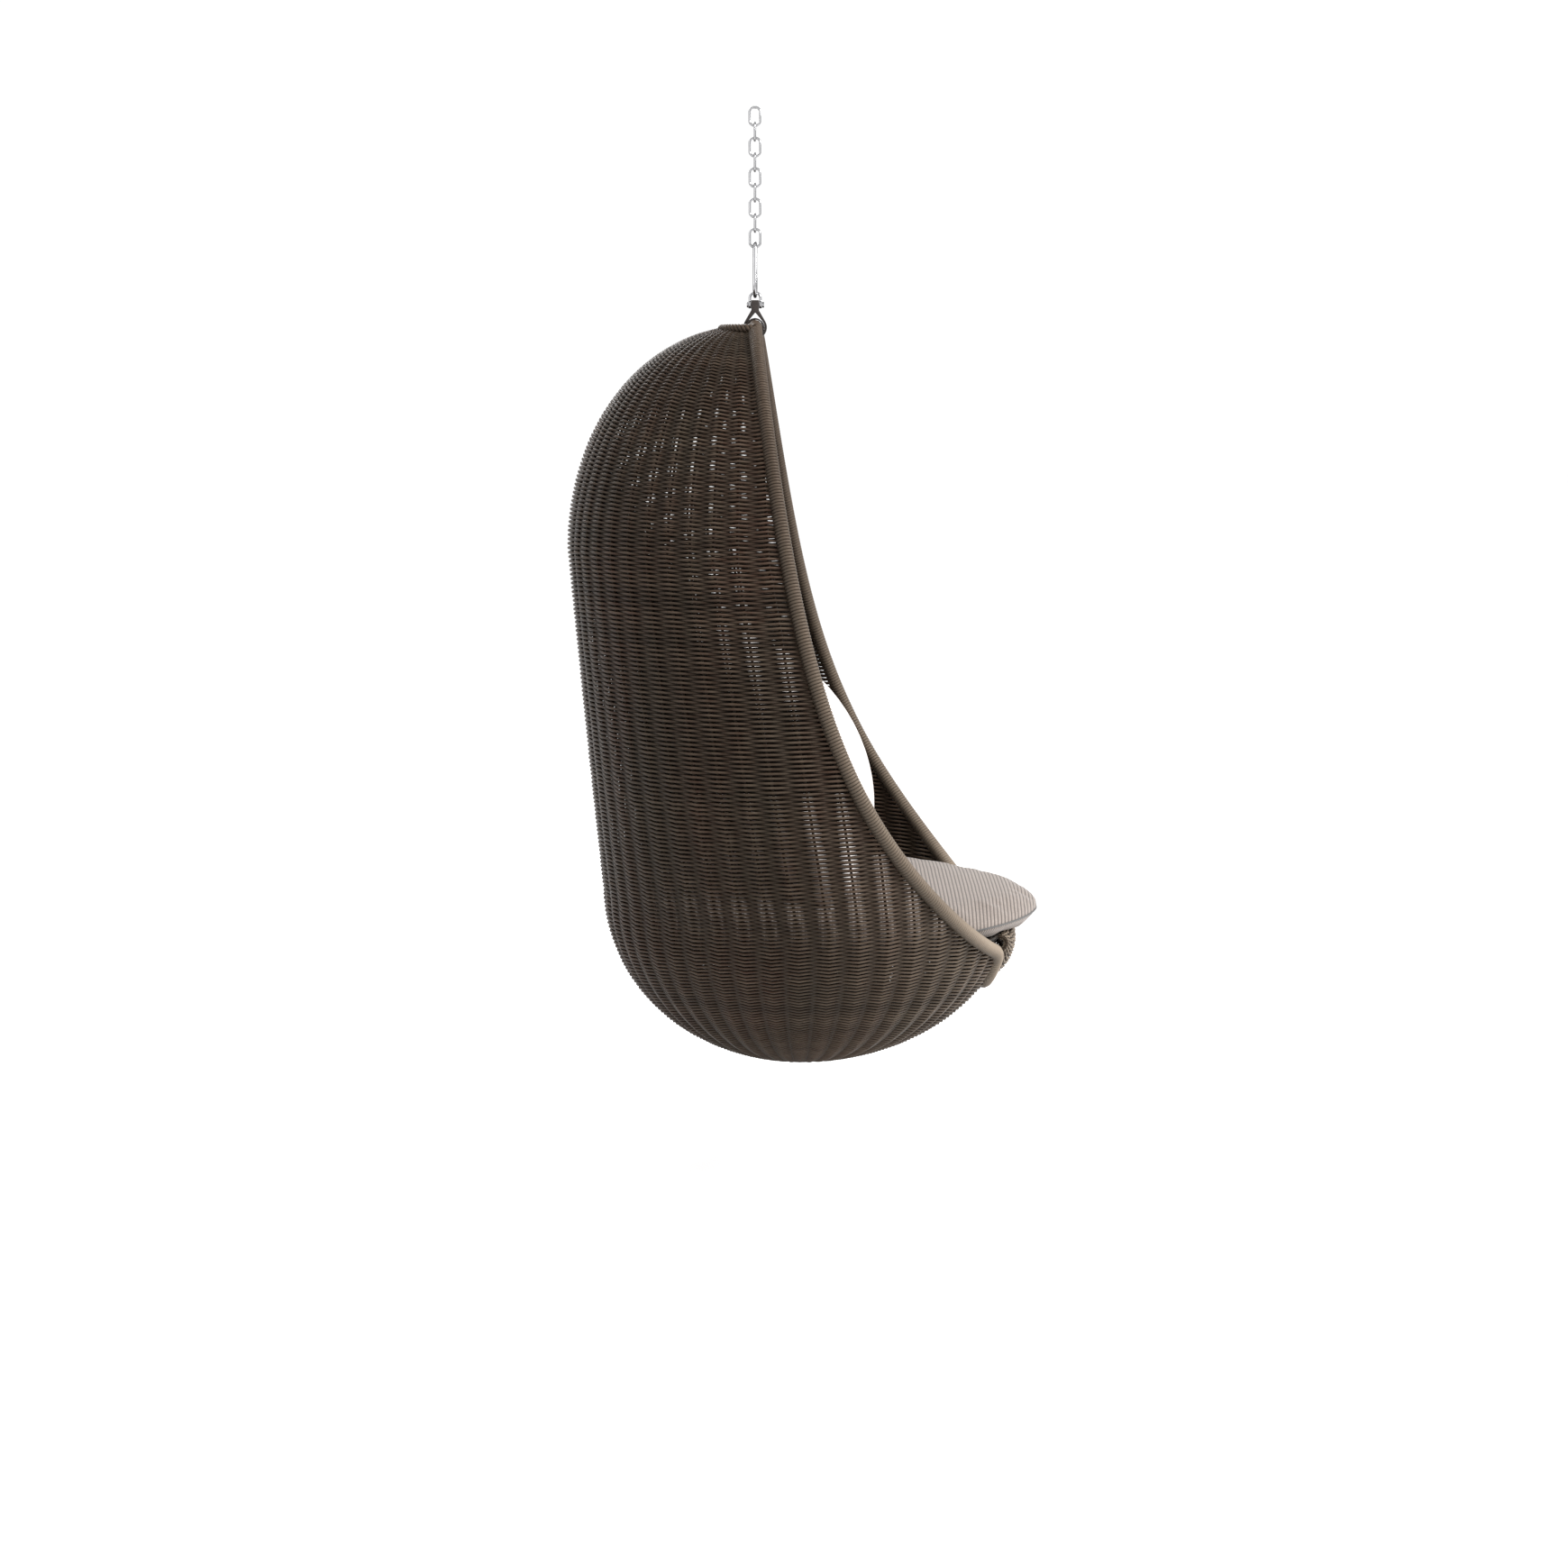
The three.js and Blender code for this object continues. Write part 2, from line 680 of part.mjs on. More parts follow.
function wovenShell() {
  const skin = eggBody(stakeRidge, 2 * stakeCount, stakeRidge);
  const hollow = eggBody(stakeRidge + weaveThickness, stakeCount, 0);
  const crown = rod(2 * ringRadius + ringTube + 2 * fitGap, 2 * overrun, 2 * outlineSteps, 'z');
  return cut(skin, hollow, mouthCutter(), rimRoom(fitGap), crown);
}

// The room inside the shell, less the gap at its wall
function podRoom() {
  return eggBody(stakeRidge + weaveThickness + fitGap, stakeCount, 0);
}

// Seat deck: a level woven panel from wall to wall, whose nose passes between the
// rim's two corners
function seatDeck() {
  const [depth, width] = [2 * (bowlFront + overrun), 2 * (halfWidth + overrun)];
  const body = new THREE.BoxGeometry(depth, width, deckThickness);
  body.translate(bowlCentre, 0, -deckDrop - deckThickness / 2);
  return cut(shared(body, podRoom()), rimRoom(fitGap));
}

function noseAt(y) {
  const drop = deckDrop + deckThickness / 2;
  const section = eggSection(drop, stakeRidge + weaveThickness);
  return section.centre + section.front * Math.sqrt(1 - (y / section.half) ** 2);
}

// Where the rim's front rail is, for a distance from the middle
function railAt(y) {
  const rail = rimHalf.slice(rimCurveSteps);
  for (let i = 0; i + 1 < rail.length; i++) {
    const [outer, inner] = [rail[i], rail[i + 1]];
    if (Math.abs(y) <= outer.y && Math.abs(y) >= inner.y) {
      const share = (outer.y - Math.abs(y)) / (outer.y - inner.y);
      return outer.clone().lerp(inner, share).setY(y);
    }
  }
  return rail[0].clone().setY(y);
}

// Front lip: the deck's weave carried over the nose bar and down to the front rail
function frontLip() {
  const [outerSheet, innerSheet] = [[], []];
  const reach = noseHalf - lipThickness;
  const steps = outlineSteps / 2;
  for (let i = 0; i <= steps; i++) {
    const y = lerp(-reach, reach, i / steps);
    const rail = railAt(y);
    const start = new THREE.Vector2(noseAt(y) + fitGap, -deckDrop - lipThickness / 2);
    const seat = new THREE.Vector2(noseAt(y) - rail.x, start.y - rail.z).normalize();
    const hold = rimDiameter / 2 + fitGap + lipThickness / 2;
    const end = new THREE.Vector2(rail.x, rail.z).addScaledVector(seat, hold);
    const curve = new THREE.CubicBezierCurve(
      start,
      new THREE.Vector2(start.x + lipBulge, start.y),
      new THREE.Vector2(start.x + lipBulge, lerp(end.y, start.y, lipHandleShare)),
      end,
    );
    const [outer, inner] = [[], []];
    for (let k = 0; k <= steps; k++) {
      const at = curve.getPoint(k / steps);
      const along = curve.getTangent(k / steps);
      const off = new THREE.Vector2(-along.y, along.x).multiplyScalar(lipThickness / 2);
      outer.push(new THREE.Vector3(at.x + off.x, y, at.y + off.y));
      inner.push(new THREE.Vector3(at.x - off.x, y, at.y - off.y));
    }
    outerSheet.push(outer);
    innerSheet.push(inner);
  }
  return cut(sheetSolid(outerSheet, innerSheet), rimRoom(fitGap));
}

// Rails under the deck, from wall to wall, and the bar inside the lip
const seatLevel = eggSection(deckDrop, stakeRidge + weaveThickness);

function seatRail(share) {
  const x = seatLevel.centre + share * (share > 0 ? seatLevel.front : seatLevel.back);
  const rail = rod(railDiameter, 2 * halfWidth, fineSides, 'y');
  rail.translate(x, 0, -deckDrop - deckThickness - fitGap - railDiameter / 2);
  return shared(rail, podRoom());
}

function noseBar() {
  const z = -deckDrop - deckThickness - fitGap - noseBarDiameter / 2;
  const reach = noseHalf - noseBarDiameter;
  const path = [];
  for (let i = 0; i <= outlineSteps / 2; i++) {
    const y = lerp(-reach, reach, (2 * i) / outlineSteps);
    path.push(new THREE.Vector3(noseAt(y) - noseBarInset, y, z));
  }
  return cut(openTube(path, noseBarDiameter, tubeSides), rimRoom(fitGap));
}

// Seat cushion: a crowned pad, drawn in below its seam, that hangs over the lip
const cushionFloor = -deckDrop + fitGap;
const cushionCentre = seatLevel.centre - cushionSetback;
const cushionHalf = seatLevel.half - cushionSideGap;
const cushionFront = cushionSetback + seatLevel.front + cushionOverhang;
const cushionBack = seatLevel.back - cushionSetback - cushionBackGap;

function cushionBody(grow) {
  const rings = cushionSpreadShares.map((spread, j) => {
    const ring = [];
    for (let i = 0; i < 2 * outlineSteps; i++) {
      const angle = (Math.PI * i) / outlineSteps;
      const [c, s] = [Math.cos(angle), Math.sin(angle)];
      const power = c > 0 ? 2 / cushionFrontPower : 1;
      const reach = grow + (c > 0 ? cushionFront : cushionBack);
      ring.push(new THREE.Vector3(
        cushionCentre + spread * reach * Math.sign(c) * Math.abs(c) ** power,
        spread * (cushionHalf + grow) * Math.sign(s) * Math.abs(s) ** power,
        cushionFloor + (cushionHeight + grow) * cushionRiseShares[j],
      ));
    }
    return ring;
  });
  return loftedSolid(rings);
}

function seatCushion() {
  return cut(cushionBody(0), rimRoom(softGap));
}

// Back pillow: two crowned faces sewn round four drawn-in edges, pressed flat where it
// stands on the cushion and leans on the wall
function backPillow() {
  const place = ({ x, rise }) => new THREE.Vector2(x, cushionFloor + rise);
  const middle = new THREE.QuadraticBezierCurve(place(pillowFoot), place(pillowBend), place(pillowTop));
  const steps = outlineSteps / 2;
  const [front, back] = [[], []];
  for (let i = 0; i <= steps; i++) {
    const [frontRow, backRow] = [[], []];
    for (let k = 0; k <= steps; k++) {
      const [u, v] = [(2 * i) / steps - 1, (2 * k) / steps - 1];
      const across = pillowHalf - pillowDrawIn * (1 - u ** 2);
      const pull = (pillowDrawIn * (1 - v ** 2)) / (2 * pillowHalf);
      const along = lerp(0.5, (u + 1) / 2, 1 - pull);
      const at = middle.getPoint(along);
      const way = middle.getTangent(along);
      const crown = ((1 - u ** 2) * (1 - v ** 2)) ** pillowCrownPower * (pillowThickness / 2);
      frontRow.push(new THREE.Vector3(at.x + way.y * crown, v * across, at.y - way.x * crown));
      backRow.push(new THREE.Vector3(at.x - way.y * crown, v * across, at.y + way.x * crown));
    }
    front.push(frontRow);
    back.push(backRow);
  }
  return cut(shared(sheetSolid(front, back), podRoom()), cushionBody(fitGap));
}

// Assembly
function piece(name, geometry, material) {
  const mesh = new THREE.Mesh(geometry, material());
  mesh.name = name;
  return mesh;
}

const chair = new THREE.Group();

linkTops.forEach((top, i) => {
  const link = piece(`chain_link_${i + 1}`, linkBody, finishes.chrome);
  link.position.z = top - linkSpan / 2;
  link.rotation.z = i % 2 === 0 ? 0 : Math.PI / 2;
  chair.add(link);
});

const carabiner = new THREE.Group();
carabiner.position.z = carabinerBottomZ;
carabiner.add(piece('carabiner_body', carabinerBody(), finishes.chrome));
carabiner.add(placeOnGate(piece('carabiner_gate', carabinerGate(), finishes.chrome)));
const gatePin = rod(gatePinDiameter, gateDiameter, fineSides, 'x');
carabiner.add(placeOnGate(piece('carabiner_gate_pin', gatePin, finishes.chrome)));
chair.add(carabiner);

const shackle = new THREE.Group();
shackle.position.z = pinZ;
shackle.add(piece('shackle_bow', shackleBody(), finishes.chrome));
shackle.add(piece('shackle_pin', shacklePin(), finishes.chrome));
shackle.add(piece('shackle_nut', shackleNut(), finishes.chrome));
chair.add(shackle);

const strap = piece('hanging_strap', strapBody(), finishes.leather);
strap.position.z = rimZ;
chair.add(strap);

const pod = new THREE.Group();
pod.position.z = rimZ + rimTopDrop();
pod.add(piece('rim_sleeve', rimSleeve(), finishes.leather));
pod.add(piece('rim_core', rimCore(), finishes.tube));
pod.add(piece('rim_wrap', rimWrap(), finishes.wrap));
pod.add(piece('top_ring', topRing(), finishes.wrap));
pod.add(piece('woven_shell', wovenShell(), finishes.weave));
pod.add(piece('seat_deck', seatDeck(), finishes.weave));
pod.add(piece('front_lip', frontLip(), finishes.weave));
pod.add(piece('nose_bar', noseBar(), finishes.tube));
for (const [place, share] of Object.entries(railShares)) {
  pod.add(piece(`seat_rail_${place}`, seatRail(share), finishes.tube));
}
pod.add(piece('seat_cushion', seatCushion(), finishes.cushion));
pod.add(piece('back_pillow', backPillow(), finishes.pillow));
chair.add(pod);

export default chair;
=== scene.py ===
import math
import random

import bmesh
import bpy
import numpy as np
from bpy.props import FloatProperty, FloatVectorProperty, IntProperty, PointerProperty
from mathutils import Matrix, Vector, noise
from mathutils.bvhtree import BVHTree
from mathutils.kdtree import KDTree


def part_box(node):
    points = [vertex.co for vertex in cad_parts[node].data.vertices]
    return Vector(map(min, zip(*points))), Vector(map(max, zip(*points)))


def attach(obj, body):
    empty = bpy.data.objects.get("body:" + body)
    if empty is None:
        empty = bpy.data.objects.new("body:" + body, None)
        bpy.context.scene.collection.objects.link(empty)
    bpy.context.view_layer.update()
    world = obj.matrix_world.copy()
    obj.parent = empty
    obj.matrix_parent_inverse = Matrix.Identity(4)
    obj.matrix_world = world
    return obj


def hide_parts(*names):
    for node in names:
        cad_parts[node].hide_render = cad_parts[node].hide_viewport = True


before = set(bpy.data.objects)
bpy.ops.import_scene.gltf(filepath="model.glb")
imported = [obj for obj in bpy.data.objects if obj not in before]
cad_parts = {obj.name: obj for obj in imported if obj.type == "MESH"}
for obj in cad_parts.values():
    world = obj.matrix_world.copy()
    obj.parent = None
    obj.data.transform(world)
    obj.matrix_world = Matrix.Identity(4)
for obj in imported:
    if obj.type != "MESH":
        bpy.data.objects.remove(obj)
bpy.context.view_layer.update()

bl_info = {
    "name": "Hanging pod chair",
    "version": (1, 0, 0),
    "blender": (4, 5, 0),
    "location": "3D View > Sidebar > Pod chair",
    "description": "Builds a hanging woven pod chair over its packed model",
    "category": "Object",
}

MM = 0.001

# The egg, in millimetres. A drop is measured down from its apex, an inset inwards from its skin.
RIM_TOP = sum(corner[2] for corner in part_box("rim_sleeve")) / 2 / MM
HALF_WIDTH = 425
WIDEST_DROP = 707
CROWN_POWER = 1.3
CROWN_SETBACK = 20
DOME_DROP = 365
DOME_DEPTH = 292
BOWL_DROP = 940
BOWL_CENTRE = 75
BOWL_BACK = 335
BOWL_FRONT = 372
BOWL_DEPTH = 302
STAKE_COUNT = 48
WEAVE_INSET = 6.6
WALL_INSET = 14

# The weave. Its start and end shares are of the way down a meridian, from the apex.
WEAVE_BANDS = 8
WEAVE_END_SHARE = 0.972
EDGE_SETBACK = 3
MERIDIAN_STEPS = 600
ROW_DRIFT = 0.05
ROW_DRIFT_RATE = 0.035
ROW_JITTER = 0.03
TONE_DRIFT = 0.45
TONE_DRIFT_RATE = 0.11
TONE_JITTER = 0.18
WAVE_UNEVENNESS = 0.12
WAVE_DRIFT_RATES = (3.0, 0.31)
SHORTEST_RUN = 3
WAVE_FULL_PITCH = 30
WAVE_LEAST_SHARE = 0.45
STRAND_FLATNESS = 2.2
END_HALVINGS = 8
STAKE_END_SHARE = 0.975
STAKE_STEPS = 150
STAKE_SHADE = 0.6
HUB_START_SHARE = 0.968
HUB_END_SHARE = 0.9995
HUB_STRAND = 4.6
HUB_SPACING = 4.4
HUB_SINK = 3.2
HUB_STEPS = 28

# The rim's line in side view
RIM_DIAMETER = 24
RIM_AIM_DROP = 1040
RIM_AIM_INSET = 6.4
RIM_CORNER_SHARE = 0.015
RIM_RAIL_DROP = 1103
RIM_SINK_TOP = 4
RIM_SINK_FRONT = 2
RIM_HANDLE_X_SHARES = (0.188, 0.281)
RIM_HANDLE_DROP_SHARES = (0.543, 0.708)
RIM_CURVE_STEPS = 150
RIM_CROWDING = 1.3
RIM_CORNER_STEPS = 16
RIM_RAIL_STEPS = 24
WRAP_SIDES = 8
WRAP_TURN_POINTS = 12
SLEEVE_HALF = 17.3
SLEEVE_CLEAR_SHARE = 1.5
RING_RADIUS = 54
RING_TUBE = 16
RING_SINK = 8
RING_STARTS = 3
RING_STEPS = 59
RING_CORE_TUBE = 11

# Seat
DECK_DROP = 997
LIP_HALF = 121
LIP_BULGE = 16
LIP_THICKNESS = 7
LIP_STAKES = 17
LIP_SAMPLES = 4
LIP_STEPS = 40
LIP_FLATNESS = 2.4
LIP_TUCK = 10
LIP_NOSE_DROP = 2.5
LIP_NOSE_INSET = 10.5
LIP_RAIL_DROP = 36
LIP_HOLD = 8
LIP_HANDLE_SHARE = 0.25
SEAT_GAP = 0.3
CUSHION_CENTRE = 60
CUSHION_HALF = 330
CUSHION_FRONT = 418
CUSHION_BACK = 294
CUSHION_HEIGHT = 58
CUSHION_FRONT_POWER = 1.75
CUSHION_TIP_EASE = 0.2
CUSHION_SEAM_SHARE = 0.42
CUSHION_TIP_REACH = 7
CUSHION_CROWN_SPARE = 6
CUSHION_SPREAD_SHARES = (0, 0.5, 0.72, 0.93, 0.97, 0.992, 1, 0.992, 0.955, 0.9, 0.7, 0.36, 0)
CUSHION_RISE_SHARES = (0, 0, 0, 0.03, 0.14, 0.3, 0.42, 0.56, 0.7, 0.81, 0.93, 0.985, 1)
CUSHION_STEPS = 96
CUSHION_RIM_CLEARANCE = 14.5
EDGE_STEPS = 720
PIPING_STEPS = 260
PIPING_START_SHARE = 1.25
PIPING_PROUD_SHARE = 0.2
PILLOW_HALF = 238
PILLOW_THICKNESS = 232
PILLOW_LINE = ((124, 50), (86, 350), (-222, 448))
PILLOW_FRONT_SHARE = 1.12
PILLOW_BACK_SHARE = 0.95
PILLOW_DRAW_IN = 20
PILLOW_CROWN_POWER = 0.6
PILLOW_HEM = 6
PILLOW_EDGE = 1.5
PILLOW_STEPS = 28
PILLOW_PROBE = 0.01
PILLOW_FOOT_TOP = -1200
PILLOW_LIFT = 1
CLOTH_FRAMES = 20
CLOTH_THREAD = 0.0011

# Chain and carabiner
LINK_WIRE = 4
LINK_STEP = 24
LINK_HALF_WIDTH = 8.5
LINK_HALF_LENGTH = 14.15
LINK_END_FLAT = 3.5
LINK_BEND_START = 1.5
LINK_BEND_EASE = 1.6
LINK_BEND_STEPS = 8
LINK_COUNT = 9
STRAP_EDGE = 0.8
SLEEVE_EDGE = 0.6
CARABINER_FOOT = -296.8
CARABINER_SPAN = 84.3
CARABINER_WIRE = 7
CARABINER_TOP_RADIUS = 11
CARABINER_FOOT_RADIUS = 19
GATE_START = 15
GATE_LENGTH = 32
GATE_TONGUE = 6
GATE_GAP = 0.3
CARABINER_ARC_STEPS = 28
CARABINER_END_ROUNDING = 0.6
TONGUE_HALF_WIDTH = 2.9
TONGUE_HALF_THICKNESS = 1.3
TONGUE_REACH = 10
TONGUE_STEPS = 8

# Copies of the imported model's own shapes
MERGE_DISTANCE = 1e-6
FLAT_ANGLE = math.radians(1)
EDGE_ANGLE = math.radians(50)
SMOOTH_ANGLE = math.radians(48)
CARABINER_SMOOTH_ANGLE = math.radians(40)

# Camera and lamps. A lamp has a place, a size and a share of the power.
PHOTO_WIDTH = 1740
PHOTO_FOCAL = 2660
SENSOR = 36
CAMERA_PLACE = (0.101, -4.0, -0.40185)
CAMERA_TURN = (80, 0, 0.77)
CAMERA_REACH = 60
FLOOR_REACH = 30
LAMP_AIM = (0.05, 0, -0.9)
LAMPS = {
    "Key": ((2.6, -1.2, 1.0), 1.2, 1.0),
    "Fill": ((-2.6, -2.2, 0.2), 2.6, 0.2),
    "Rim": ((-1.2, 2.6, 1.4), 2.0, 0.5),
}


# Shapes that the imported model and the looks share

def lerp(a, b, share):
    return a + (b - a) * share


def egg(drop, inset):
    """Centre, reach behind it, reach before it and half width of the egg's level section."""
    drop = np.asarray(drop, float)
    to_bowl = np.clip((drop - DOME_DROP) / (BOWL_DROP - DOME_DROP), 0, 1)
    centre = lerp(-CROWN_SETBACK, BOWL_CENTRE, to_bowl)

    def arch(ratio):
        return np.sqrt(np.clip(1 - ratio ** 2, 0, None))

    bowl = arch((drop - BOWL_DROP) / (BOWL_DEPTH - inset))
    dome = arch((DOME_DROP - drop) / (DOME_DROP - inset))
    rise = arch((BOWL_DROP - drop) / (BOWL_DROP - inset))
    back = lerp(-CROWN_SETBACK - DOME_DEPTH, BOWL_CENTRE - BOWL_BACK, to_bowl) + inset
    back = np.where(drop < DOME_DROP, -CROWN_SETBACK - (DOME_DEPTH - inset) * dome, back)
    back = np.where(drop > BOWL_DROP, BOWL_CENTRE - (BOWL_BACK - inset) * bowl, back)
    reach = BOWL_CENTRE + BOWL_FRONT - inset + CROWN_SETBACK
    bowl_front = BOWL_CENTRE + (BOWL_FRONT - inset) * bowl
    front = np.where(drop > BOWL_DROP, bowl_front, reach * rise - CROWN_SETBACK)
    below = (drop - WIDEST_DROP) / (BOWL_DROP + BOWL_DEPTH - inset - WIDEST_DROP)
    above = np.clip((WIDEST_DROP - drop) / (WIDEST_DROP - inset), 0, None)
    narrowing = np.where(drop > WIDEST_DROP, below ** 2, above ** CROWN_POWER)
    half = (HALF_WIDTH - inset) * np.sqrt(np.clip(1 - narrowing, 0, None))
    return centre, centre - back, front - centre, half


def egg_point(angle, drop, inset):
    """A point on the egg in millimetres below its apex. The angle is 0 at the back."""
    centre, back, front, half = egg(drop, inset)
    c = np.cos(angle)
    x = centre - np.where(c > 0, back, front) * c
    return np.stack(np.broadcast_arrays(x, half * np.sin(angle), -np.asarray(drop, float)), axis=-1)


def egg_half_at(x, drop, inset):
    centre, back, front, half = egg(drop, inset)
    off = x - centre
    share = off / np.where(off > 0, front, back)
    return half * np.sqrt(np.clip(1 - share ** 2, 0, None))


def rim_top_drop():
    reach = BOWL_CENTRE + BOWL_FRONT - RIM_SINK_TOP + CROWN_SETBACK
    return BOWL_DROP - (BOWL_DROP - RIM_SINK_TOP) * math.sqrt(1 - (CROWN_SETBACK / reach) ** 2)


APEX = RIM_TOP + rim_top_drop()


def bezier(points, t):
    points = [np.array(p, float) for p in points]
    while len(points) > 1:
        points = [lerp(a, b, t) for a, b in zip(points, points[1:])]
    return points[0]


def rim_side_line():
    """The rim's centreline in side view, as x and drop, from the top to the front rail's middle."""
    top = rim_top_drop()
    centre, _, front, _ = egg(RIM_AIM_DROP, RIM_AIM_INSET)
    aim = (float(centre + front), RIM_AIM_DROP)
    handles = [
        (x * aim[0], lerp(top, aim[1], drop))
        for x, drop in zip(RIM_HANDLE_X_SHARES, RIM_HANDLE_DROP_SHARES)
    ]
    long_curve = [(0, top), *handles, aim]
    centre, _, front, _ = egg(RIM_RAIL_DROP, RIM_SINK_FRONT)
    end = np.array([float(centre + front), RIM_RAIL_DROP])
    curve_end = 1 - 2 * RIM_CORNER_SHARE
    corner = bezier(long_curve, 1 - RIM_CORNER_SHARE)
    bend_start = bezier(long_curve, curve_end)
    bend_share = np.linalg.norm(bend_start - corner) / np.linalg.norm(end - corner)
    bend_end = lerp(corner, end, bend_share)
    spaced = [(i / RIM_CURVE_STEPS) ** RIM_CROWDING for i in range(RIM_CURVE_STEPS)]
    line = [bezier(long_curve, curve_end * share) for share in spaced]
    line += [bezier([bend_start, corner, bend_end], i / RIM_CORNER_STEPS) for i in range(RIM_CORNER_STEPS)]
    eased = [1 - (1 - i / RIM_RAIL_STEPS) ** 2 for i in range(RIM_RAIL_STEPS + 1)]
    line += [lerp(bend_end, end, share) for share in eased]
    return np.array(line)


RIM_SIDE = rim_side_line()


def rim_loop():
    """The rim's closed centreline, from the top down one side and up the other."""
    half = []
    for x, drop in RIM_SIDE:
        y = float(egg_half_at(x, drop, lerp(RIM_SINK_TOP, RIM_SINK_FRONT, drop / RIM_RAIL_DROP)))
        if y > SLEEVE_HALF * SLEEVE_CLEAR_SHARE or drop > DECK_DROP:
            half.append((x, y, -drop))
    top = [(0, y, -rim_top_drop()) for y in (0, SLEEVE_HALF / 2, SLEEVE_HALF)]
    half = top + half[:-1] + [(half[-1][0], 0, half[-1][2])]
    other = [(x, -y, z) for x, y, z in reversed(half[1:-1])]
    return np.array(half + other)


def row_frame(points):
    """Points in millimetres below the apex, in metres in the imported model's frame."""
    return (np.asarray(points, float) + (0, 0, APEX)) * MM


def height_of(level):
    return float(row_frame((0, 0, level))[2])


# Node trees

def add_node(tree, kind, inputs=None, **settings):
    node = tree.nodes.new(kind)
    for key, value in settings.items():
        setattr(node, key, value)
    for key, value in (inputs or {}).items():
        if isinstance(value, bpy.types.NodeSocket):
            tree.links.new(value, node.inputs[key])
        else:
            node.inputs[key].default_value = value
    return node


def add_math(tree, operation, *values):
    return add_node(tree, "ShaderNodeMath", dict(enumerate(values)), operation=operation).outputs[0]


def add_vector_math(tree, operation, inputs, output="Vector"):
    return add_node(tree, "ShaderNodeVectorMath", inputs, operation=operation).outputs[output]


def new_geometry_tree(name, sizes, counts=(), angles=()):
    tree = bpy.data.node_groups.new(name, "GeometryNodeTree")
    tree.interface.new_socket("Guide", in_out="INPUT", socket_type="NodeSocketGeometry")
    for size in sizes:
        socket = tree.interface.new_socket(size, in_out="INPUT", socket_type="NodeSocketFloat")
        socket.subtype = "DISTANCE"
    for count in counts:
        tree.interface.new_socket(count, in_out="INPUT", socket_type="NodeSocketInt")
    for angle in angles:
        socket = tree.interface.new_socket(angle, in_out="INPUT", socket_type="NodeSocketFloat")
        socket.subtype = "ANGLE"
    tree.interface.new_socket("Material", in_out="INPUT", socket_type="NodeSocketMaterial")
    tree.interface.new_socket("Strands", in_out="OUTPUT", socket_type="NodeSocketGeometry")
    return tree, tree.nodes.new("NodeGroupInput")


def end_geometry_tree(tree, given, geometry):
    smooth = add_node(tree, "GeometryNodeSetShadeSmooth", {"Geometry": geometry})
    real = add_node(tree, "GeometryNodeRealizeInstances", {"Geometry": smooth.outputs[0]})
    inputs = {"Geometry": real.outputs[0], "Material": given.outputs["Material"]}
    painted = add_node(tree, "GeometryNodeSetMaterial", inputs)
    end = tree.nodes.new("NodeGroupOutput")
    tree.links.new(painted.outputs[0], end.inputs[0])


def named_attribute(tree, kind, name):
    return add_node(tree, "GeometryNodeInputNamedAttribute", {"Name": name}, data_type=kind).outputs[0]


def kept_attribute(tree, kind, name, geometry, value):
    inputs = {"Geometry": geometry, "Name": name, "Value": value}
    kind_and_domain = {"data_type": kind, "domain": "POINT"}
    return add_node(tree, "GeometryNodeStoreNamedAttribute", inputs, **kind_and_domain).outputs[0]


def woven_strand_tree():
    """Round strands along every line of the guide, waving in and out along its outward attribute.

    The open attribute tells the side that a strand turns away from the stake it passes, 1, from the
    side that it turns to the stake, -1. The strand finish paints shade with it on the side that turns
    to the stake.
    """
    sizes = ["Strand Diameter", "Wave Height"]
    tree, given = new_geometry_tree("Woven strands", sizes, ["Strand Sides"])
    curve = add_node(tree, "GeometryNodeMeshToCurve", {"Mesh": given.outputs["Guide"]}).outputs[0]
    swing = add_math(tree, "COSINE", named_attribute(tree, "FLOAT", "phase"))
    bend = add_math(tree, "POWER", add_math(tree, "ABSOLUTE", swing), STRAND_FLATNESS)
    bend = add_math(tree, "MULTIPLY", bend, add_math(tree, "SIGN", swing))
    reach = add_math(tree, "MULTIPLY", bend, given.outputs["Wave Height"])
    outward = named_attribute(tree, "FLOAT_VECTOR", "outward")
    offset = add_vector_math(tree, "SCALE", {0: outward, "Scale": reach})
    waved = add_node(tree, "GeometryNodeSetPosition", {"Geometry": curve, "Offset": offset}).outputs[0]
    radius = add_math(tree, "MULTIPLY", given.outputs["Strand Diameter"], 0.5)
    inputs = {"Resolution": given.outputs["Strand Sides"], "Radius": radius}
    circle = add_node(tree, "GeometryNodeCurvePrimitiveCircle", inputs).outputs[0]
    girth = named_attribute(tree, "FLOAT", "girth")
    inputs = {"Curve": waved, "Profile Curve": circle, "Scale": girth, "Fill Caps": True}
    body = add_node(tree, "GeometryNodeCurveToMesh", inputs).outputs[0]
    facing = add_node(tree, "GeometryNodeInputNormal").outputs[0]
    away = add_vector_math(tree, "DOT_PRODUCT", {0: facing, 1: outward}, "Value")
    marked = kept_attribute(tree, "FLOAT", "open", body, add_math(tree, "MULTIPLY", away, swing))
    end_geometry_tree(tree, given, marked)
    return tree


